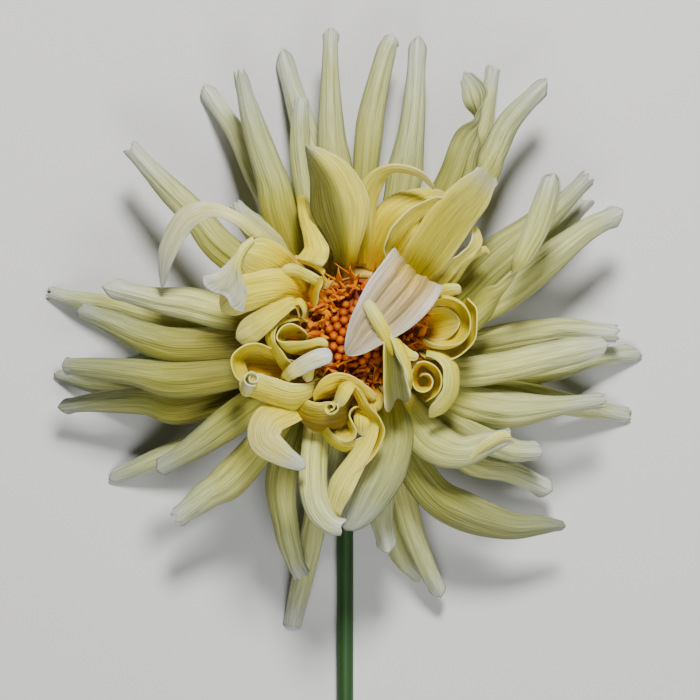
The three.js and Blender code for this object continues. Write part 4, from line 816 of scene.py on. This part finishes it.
def turned_object(name, profile, sides, materials):
    """A solid turned about the middle of the bloom, from a profile of (radius, height)."""
    bm = bmesh.new()
    corners = [bm.verts.new(Vector((radius, 0, z)) * MM) for radius, z in profile]
    edges = [bm.edges.new(pair) for pair in zip(corners, corners[1:])]
    bmesh.ops.spin(bm, geom=corners + edges, cent=(0, 0, 0), axis=(0, 0, 1),
                   angle=2 * math.pi, steps=sides, use_merge=True)
    bmesh.ops.remove_doubles(bm, verts=bm.verts, dist=1e-6)
    middle = placed([(*MIDDLE, 0)])[0]
    bmesh.ops.translate(bm, verts=bm.verts, vec=middle)
    bmesh.ops.recalc_face_normals(bm, faces=bm.faces)
    return mesh_object(name, bm, materials)


def make_receptacle():
    """The fleshy core that the petals grow from, with a seat for the disc in its top."""
    return turned_object("receptacle", [
        (0, CORE_BOTTOM), (9.5, CORE_BOTTOM), (14.6, CORE_BOTTOM + 1.2), (CORE_RADIUS, 22),
        (CORE_RADIUS, 29.5), (CORE_RADIUS - 1, 31.5), (DISC_RADIUS + 0.6, 32),
        (DISC_RADIUS + GAP, DISC_FLOOR - GAP), (0, DISC_FLOOR - GAP),
    ], 64, [receptacle_skin])


def dome(share):
    """Height of the disc's dome at a share of its radius."""
    return DISC_FLOOR + DISC_EDGE + DISC_RISE * (1 - share * share)


# Long strands over the disc: [x, y, heading in degrees, length, lean in degrees].
LONG_STRANDS = [
    [-11, 8, -26, 9, 78], [-6.5, 8.6, 8, 5, 70], [-2.6, 12.6, 94, 5.5, 40],
    [1.4, 12, 108, 6, 45], [7.4, -4.4, -104, 8, 75], [2, -4.6, 212, 7, 75],
    [-12, 0.2, -8, 7.5, 80], [-10.6, 4, -58, 6, 70], [-4.5, -6.5, 240, 5, 65],
    [9.8, -7.5, -75, 5.5, 60], [-8, 12, -60, 5, 65], [15, -3.5, 20, 6, 70],
    [17, -1, 65, 5.5, 65], [4.6, -7.4, -150, 6, 70], [-0.5, 9.8, 60, 5, 60],
]


def add_bud(bm, tone_and_painted_light, matrix, draw):
    """A closed bud: a round body with five shallow furrows that meet at its top."""
    made = bmesh.ops.create_uvsphere(bm, u_segments=15, v_segments=9, radius=BUD_RADIUS * MM)
    start = phase(draw)
    for v in made["verts"]:
        angle = math.atan2(v.co.y, v.co.x)
        up = max(v.co.z / (BUD_RADIUS * MM), 0)
        v.co.xy *= 1 - 0.12 * up * (1 - math.cos(5 * angle + start))
        v.co.z *= 1.25
        # Painted highlight: the bud is painted lighter and yellower towards its top, and darker low down
        # as painted shade.
        v[tone_and_painted_light] = 0.15 + 0.5 * up ** 2
    bmesh.ops.transform(bm, matrix=matrix, verts=made["verts"])


def add_strand(bm, tone_and_painted_light, matrix, length, width, lean, curl, bright, twist=1.2):
    """A flat pointed strap that leans outwards and bends on as it rises, closed at both ends."""
    made = bmesh.ops.create_grid(bm, x_segments=8, y_segments=8, size=1)["verts"]
    for v in made:
        around = (v.co.x + 1) * math.pi
        t = (v.co.y + 1) / 2
        angle = lean + curl * t
        half = width / 2 * math.sin(math.pi * t ** 0.7) ** 0.7 if 0.001 < t < 0.999 else 0
        turn = twist * t
        flat, thick = half * math.sin(around), 0.4 * half * math.cos(around)
        side = flat * math.cos(turn) - thick * math.sin(turn)
        thick = flat * math.sin(turn) + thick * math.cos(turn)
        v.co.x = (math.cos(lean) - math.cos(angle)) / curl * length + thick * math.cos(angle)
        v.co.z = (math.sin(angle) - math.sin(lean)) / curl * length - thick * math.sin(angle)
        v.co.y = side
        # Yellower towards the point: partly the strap's own colour, partly painted light.
        v[tone_and_painted_light] = bright + (1 - bright) * 0.7 * t
    bmesh.ops.transform(bm, matrix=matrix, verts=made)
    bmesh.ops.remove_doubles(bm, verts=made, dist=1e-7)


def add_floret(bm, tone_and_painted_light, matrix, draw, reach):
    """An open floret: a slim tube that splits into three pointed straps, the first a long one."""
    length = draw.uniform(1.4, 3.0) * MM
    width = draw.uniform(1.3, 1.8) * MM
    add_strand(bm, tone_and_painted_light, matrix, length * 1.3, width * 0.9, 0.0, 0.06, 0.1)
    for k in range(3):
        spin = Matrix.Rotation(k * 2.1 + draw.uniform(-0.5, 0.5), 4, "Z")
        place = matrix @ Matrix.Translation((0, 0, length * 0.8)) @ spin
        span = draw.uniform(4.2, 6.4) if k == 0 else draw.uniform(1.8, 3.4)
        add_strand(bm, tone_and_painted_light, place, span * reach * MM, width * draw.uniform(0.65, 1.0),
                   math.radians(draw.uniform(5, 35)), math.radians(draw.uniform(15, 70)),
                   draw.uniform(0.2, 0.6), draw.uniform(-2.5, 2.5))


def make_disc_florets():
    """Round closed buds in a spiral over the dome, and open pointed florets round them."""
    draw = random.Random("disc")
    bm = bmesh.new()
    # A tone for every point: partly the florets' own colour, partly painted light and shade.
    tone_and_painted_light = bm.verts.layers.float.new("tone_and_painted_light")
    golden_turn = math.pi * (3 - math.sqrt(5))
    count = BUD_COUNT + FLORET_COUNT
    for k in range(count):
        share = math.sqrt((k + 0.5) / count) * 0.96
        angle = k * golden_turn
        x = MIDDLE[0] + math.cos(angle) * share * DISC_RADIUS
        y = MIDDLE[1] + math.sin(angle) * share * DISC_RADIUS
        base = Matrix.Translation(placed([(x, y, dome(share))])[0])
        if k < BUD_COUNT:
            place = base @ Matrix.Translation((0, 0, (0.5 + draw.uniform(-0.2, 0.5)) * MM))
            add_bud(bm, tone_and_painted_light, place @ Matrix.Rotation(draw.uniform(-0.2, 0.2), 4, "X"), draw)
        else:
            tilt = math.radians(draw.uniform(0, 50))
            spin = angle + draw.uniform(-0.9, 0.9)
            place = base @ Matrix.Rotation(spin, 4, "Z") @ Matrix.Rotation(tilt, 4, "Y")
            add_floret(bm, tone_and_painted_light, place, draw, 1.3 if share > 0.8 else 0.9)
    for x, y, heading, length, lean in LONG_STRANDS:
        place = Matrix.Translation(placed([(x, y, CORE_TOP + 3)])[0])
        place = place @ Matrix.Rotation(math.radians(heading), 4, "Z")
        add_strand(bm, tone_and_painted_light, place, length * MM, STRAND_WIDTH * MM, math.radians(lean),
                   math.radians(draw.uniform(15, 35)), 0.6, draw.uniform(-2.5, 2.5))
    bmesh.ops.recalc_face_normals(bm, faces=bm.faces)
    florets = mesh_object("open_and_closed_florets", bm, [floret])
    profile = [(0, DISC_FLOOR), (DISC_RADIUS, DISC_FLOOR)]
    profile += [(DISC_RADIUS * share, dome(share)) for share in (1, 0.85, 0.7, 0.5, 0.3, 0.15, 0)]
    return [florets, turned_object("disc", profile, 48, [disc_ground])]


def bract_ring(kind, count, first, stations, roll):
    """A ring of bracts; a station is [distance from the middle, height, width]."""
    pieces = []
    for k in range(count):
        heading = (k + first) * 2 * math.pi / count
        route = [(MIDDLE[0] + math.cos(heading) * distance,
                  MIDDLE[1] + math.sin(heading) * distance, z, width)
                 for distance, z, width in stations]
        name = "%s_bract_%d" % (kind, k + 1)
        surface = arc_petal(route, heading, roll, (0,), name, 0.5)
        pieces.append(sheet_object(name, surface, BRACT_COLUMNS, BRACT_STEPS, {}, [bract, bract],
                                   BRACT_THICKNESS))
    return pieces


def make_involucre():
    """The green cup behind the rays: broad bracts pressed to them, and narrow ones bent back."""
    top = CORE_BOTTOM - GAP
    bottom = NECK_TOP + GAP
    cup = turned_object("involucre_cup", [
        (0, bottom), (3.2, bottom), (4, bottom + 0.3), (5, bottom + 0.9), (9, top - 0.9),
        (9.2, top), (0, top),
    ], 48, [bract])
    broad = [[5, top - 1.5, 5], [9, top - 1.1, 6.4], [12, top - 0.8, 5], [14, top - 0.7, 1.6]]
    bent = [[4, bottom + 1, 3], [8, bottom + 1, 3.6], [11.5, bottom - 1, 4],
            [13, bottom - 4, 1.8]]
    return ([cup] + bract_ring("broad", 8, 0.5, broad, (-6, -6, -4))
            + bract_ring("bent", 6, 0.25, bent, (20, 25, 20)))


def stem_route():
    """Points along the stem: straight along the surface, then a bend up under the bloom."""
    bend = np.array([(STEM_X, STEM_BEND, STEM_RADIUS), (STEM_X, -7, STEM_RADIUS),
                     (MIDDLE[0], MIDDLE[1] - 1.5, 1.5), (*MIDDLE, NECK_TOP)])
    f = np.linspace(0, 1, 25)[:, None]
    curve = ((1 - f) ** 3 * bend[0] + 3 * f * (1 - f) ** 2 * bend[1]
             + 3 * f * f * (1 - f) * bend[2] + f ** 3 * bend[3])
    straight = [(STEM_X, y, STEM_RADIUS) for y in np.linspace(STEM_END, STEM_BEND, 30)[:-1]]
    return np.vstack([straight, curve])


def make_stem():
    """A round stem, faintly ribbed, that turns up under the bloom."""
    path = [Vector(point) for point in placed(stem_route())]
    bm = bmesh.new()
    ring = bmesh.ops.create_circle(bm, segments=40, radius=STEM_RADIUS * MM)["verts"]
    for k, v in enumerate(ring):
        v.co *= 1 - 0.015 * (1 - math.cos(k * 2 * math.pi / 5))
    upright = Matrix.Rotation(-math.pi / 2, 4, "X")
    bmesh.ops.transform(bm, matrix=Matrix.Translation(path[0]) @ upright, verts=ring)
    edges = bm.edges[:]
    bmesh.ops.holes_fill(bm, edges=edges)
    ahead = Vector((0, 1, 0))
    for k in range(1, len(path)):
        way = (path[min(k + 1, len(path) - 1)] - path[k - 1]).normalized()
        grown = bmesh.ops.extrude_edge_only(bm, edges=edges)["geom"]
        moved = [part for part in grown if isinstance(part, bmesh.types.BMVert)]
        edges = [part for part in grown if isinstance(part, bmesh.types.BMEdge)
                 and all(v in moved for v in part.verts)]
        swing = ahead.rotation_difference(way).to_matrix().to_4x4()
        place = Matrix.Translation(path[k]) @ swing @ Matrix.Translation(-path[k - 1])
        bmesh.ops.transform(bm, matrix=place, verts=moved)
        ahead = way
    bmesh.ops.holes_fill(bm, edges=edges)
    bmesh.ops.recalc_face_normals(bm, faces=bm.faces)
    return mesh_object("flower_stem", bm, [stem_skin])


# ---- Materials ----------------------------------------------------------------------------

class Nodes:
    """Short ways to build a material's node tree."""

    def __init__(self, name):
        self.material = bpy.data.materials.new(name)
        self.material.use_nodes = True
        self.tree = self.material.node_tree
        self.shader = self.tree.nodes["Principled BSDF"]

    def add(self, kind, **values):
        node = self.tree.nodes.new(kind)
        for key, value in values.items():
            setattr(node, key, value)
        return node

    def link(self, start, end):
        self.tree.links.new(start, end)

    def put(self, socket, value):
        if isinstance(value, bpy.types.NodeSocket):
            self.link(value, socket)
        else:
            socket.default_value = value

    def attribute(self, name, output="Fac"):
        return self.add("ShaderNodeAttribute", attribute_name=name).outputs[output]

    def place(self):
        return self.add("ShaderNodeTexCoord").outputs["Object"]

    def math(self, kind, a, b, c=0.0):
        node = self.add("ShaderNodeMath", operation=kind)
        for socket, value in zip(node.inputs, (a, b, c)):
            self.put(socket, value)
        return node.outputs[0]

    def blend(self, share, a, b, kind="MIX"):
        node = self.add("ShaderNodeMix", data_type="RGBA", blend_type=kind)
        self.put(node.inputs["Factor"], share)
        self.put(node.inputs[6], a)
        self.put(node.inputs[7], b)
        return node.outputs[2]

    def ramp(self, share, stops):
        node = self.add("ShaderNodeValToRGB")
        self.link(share, node.inputs["Fac"])
        points = node.color_ramp.elements
        while len(points) < len(stops):
            points.new(0.5)
        for point, (place, color) in zip(points, stops):
            point.position = place
            point.color = (*color, 1)
        return node.outputs["Color"]

    def noise(self, vector, scale, detail, stretch=(1, 1, 1)):
        mapping = self.add("ShaderNodeMapping")
        self.link(vector, mapping.inputs["Vector"])
        mapping.inputs["Scale"].default_value = stretch
        node = self.add("ShaderNodeTexNoise")
        self.link(mapping.outputs["Vector"], node.inputs["Vector"])
        node.inputs["Scale"].default_value = scale
        node.inputs["Detail"].default_value = detail
        return node.outputs["Fac"]

    def bump(self, height, distance, strength):
        node = self.add("ShaderNodeBump")
        self.link(height, node.inputs["Height"])
        node.inputs["Distance"].default_value = distance
        node.inputs["Strength"].default_value = strength
        self.link(node.outputs["Normal"], self.shader.inputs["Normal"])

    def set(self, **values):
        """Sets the shader's own sockets; an underscore in a name stands for a space."""
        for key, value in values.items():
            self.shader.inputs[key.replace("_", " ")].default_value = value

    def soft(self, roughness, weight=0.0, radius=(0.001, 0.0008, 0.0004)):
        """Sets the roughness, and how much light goes through and how far, in metres."""
        self.set(Roughness=roughness, Subsurface_Weight=weight, Subsurface_Radius=radius,
                 Subsurface_Scale=1.0)


def petal_material(name, cream, yellow, golden, orange, tip, vein_share):
    """Petal tissue: cream, golden to orange near its root, frosted at its tip, finely veined, and
    darkened by painted shade.
    """
    m = Nodes(name)
    fibre = m.attribute("fibre", "Vector")
    veins = m.noise(fibre, 1.2, 2.0)
    fine = m.noise(fibre, 2.6, 3.0)
    patches = m.noise(m.place(), 70.0, 3.0)
    gold = m.math("ADD", m.attribute("gold"), m.math("MULTIPLY_ADD", patches, 0.2, -0.1))
    base = m.ramp(gold, [(0.0, cream), (0.32, yellow), (0.64, golden), (0.95, orange)])
    frost = m.math("MULTIPLY", m.attribute("frost"), m.math("MULTIPLY_ADD", veins, 0.9, 0.5))
    base = m.blend(frost, base, (*tip, 1))
    # Painted shade: the base is darkened towards grey-green by the petal's painted shade share, and once
    # more where that share passes 1.
    painted_shade = m.attribute("painted_shade")
    for share in (painted_shade, m.math("SUBTRACT", painted_shade, 1.0)):
        base = m.blend(share, base, m.blend(1.0, base, (0.44, 0.46, 0.42, 1), "MULTIPLY"))
    both = m.math("ADD", m.math("MULTIPLY", veins, 0.35), m.math("MULTIPLY", fine, 0.65))
    line = m.math("MULTIPLY_ADD", both, 5.0, -2.0)
    dark = m.blend(1.0, base, (0.6, 0.62, 0.47, 1), "MULTIPLY")
    base = m.blend(m.math("MULTIPLY_ADD", line, vein_share, 1 - vein_share), dark, base)
    m.link(base, m.shader.inputs["Base Color"])
    m.soft(0.5, 0.12, (0.0015, 0.0011, 0.0004))
    m.set(Specular_IOR_Level=0.3)
    m.bump(both, 0.0006, 0.9)
    return m.material


def plain_material(name, light, dark, roughness, scale, stretch=(1, 1, 1), bump=0.0002):
    """A material mottled between two colours, in streaks where the stretch is uneven."""
    m = Nodes(name)
    mottle = m.noise(m.place(), scale, 4.0, stretch)
    m.link(m.ramp(mottle, [(0.3, dark), (0.7, light)]), m.shader.inputs["Base Color"])
    m.soft(roughness, 0.05)
    m.bump(mottle, bump, 0.6)
    return m.material


def floret_material(name):
    """Waxy orange, darker low in the tubes and buds and yellower towards the straps' points and the
    buds' tops: partly the florets' own colour, partly painted shade low down and a painted highlight on
    top.
    """
    m = Nodes(name)
    mottle = m.noise(m.place(), 420.0, 3.0)
    share = m.math("ADD", m.attribute("tone_and_painted_light"), m.math("MULTIPLY_ADD", mottle, 0.5, -0.25))
    m.link(m.ramp(share, [(0.0, (0.24, 0.025, 0.0)), (0.4, (0.48, 0.09, 0.0)),
                          (0.95, (0.7, 0.27, 0.0))]), m.shader.inputs["Base Color"])
    m.soft(0.55)
    m.set(Specular_IOR_Level=0.06)
    m.bump(mottle, 0.0002, 0.6)
    return m.material


# Gold and orange near a petal's root.
RAY_GOLD = ((0.64, 0.45, 0.004), (0.7, 0.31, 0.0))
INNER_GOLD = ((0.78, 0.6, 0.0), (0.78, 0.46, 0.0))
petal_face = petal_material("petal face", (0.6, 0.63, 0.27), (0.62, 0.58, 0.05), *RAY_GOLD,
                            (0.68, 0.7, 0.66), 0.65)
petal_back = petal_material("petal back", (0.58, 0.61, 0.31), (0.6, 0.57, 0.08), *RAY_GOLD,
                            (0.62, 0.64, 0.62), 0.7)
inner_face = petal_material("inner petal face", (0.75, 0.72, 0.21), (0.8, 0.69, 0.02),
                            *INNER_GOLD, (0.68, 0.69, 0.6), 0.6)
inner_back = petal_material("inner petal back", (0.72, 0.69, 0.25), (0.78, 0.67, 0.05),
                            *INNER_GOLD, (0.64, 0.65, 0.62), 0.65)
pearl = petal_material("pearl", (0.6, 0.48, 0.3), (0.56, 0.38, 0.11), *INNER_GOLD,
                       (0.76, 0.72, 0.76), 0.9)
floret = floret_material("floret")
disc_ground = plain_material("disc ground", (0.32, 0.07, 0.004), (0.16, 0.03, 0.002), 0.8, 300.0)
receptacle_skin = plain_material("receptacle skin", (0.6, 0.44, 0.06), (0.42, 0.26, 0.03), 0.6,
                                 420.0, (1, 1, 0.08), bump=0.0006)
bract = plain_material("bract", (0.17, 0.29, 0.06), (0.09, 0.18, 0.035), 0.5, 90.0)
stem_skin = plain_material("stem skin", (0.022, 0.085, 0.012), (0.009, 0.038, 0.005), 0.55, 700.0,
                           (1, 0.03, 1))


# ---- The flower ---------------------------------------------------------------------------

def stand_for(pieces, node):
    """The pieces take the place of one of the frame's nodes."""
    for piece in pieces:
        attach(piece, "root")
        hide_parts(node)


stand_for(make_petals() + [make_receptacle()], "ray_petals")
stand_for(make_disc_florets(), "disc_florets")
stand_for(make_involucre(), "involucre")
stand_for([make_stem()], "stem")


# ---- Floor, light and camera --------------------------------------------------------------

def make_floor():
    bm = bmesh.new()
    bmesh.ops.create_grid(bm, x_segments=1, y_segments=1, size=3)
    m = Nodes("floor")
    m.set(Base_Color=(0.62, 0.62, 0.61, 1), Roughness=0.9)
    floor = mesh_object("floor", bm, [m.material], smooth=False)


def make_light(name, place, size, power, color=(1, 1, 1)):
    """A round lamp at a place in metres, aimed at the bloom."""
    lamp = bpy.data.lights.new(name, "AREA")
    lamp.shape = "DISK"
    lamp.size = size
    lamp.energy = power
    lamp.color = color
    light = bpy.data.objects.new(name, lamp)
    light.location = place
    aim = Vector(placed([(*MIDDLE, 20)])[0]) - Vector(place)
    light.rotation_euler = aim.to_track_quat("-Z", "Y").to_euler()
    bpy.context.scene.collection.objects.link(light)


def make_world():
    world = bpy.data.worlds.new("studio")
    world.use_nodes = True
    sky = world.node_tree.nodes["Background"]
    sky.inputs["Color"].default_value = (1, 1, 1, 1)
    sky.inputs["Strength"].default_value = 0.055
    bpy.context.scene.world = world


def make_camera():
    camera = bpy.data.cameras.new("camera")
    camera.sensor_width = SENSOR_WIDTH
    camera.lens = SENSOR_WIDTH * (CAMERA_HEIGHT - VIEW_LEVEL) / VIEW_WIDTH
    body = bpy.data.objects.new("camera", camera)
    body.location = placed([(*VIEW_MIDDLE, CAMERA_HEIGHT)])[0]
    bpy.context.scene.collection.objects.link(body)
    bpy.context.scene.camera = body


make_floor()
make_world()
make_light("key", (0.06, 0.55, 0.66), 0.2, 12.0, (1.0, 0.99, 0.97))
make_light("fill", (0.15, -0.5, 0.75), 0.5, 5.5)
make_camera()
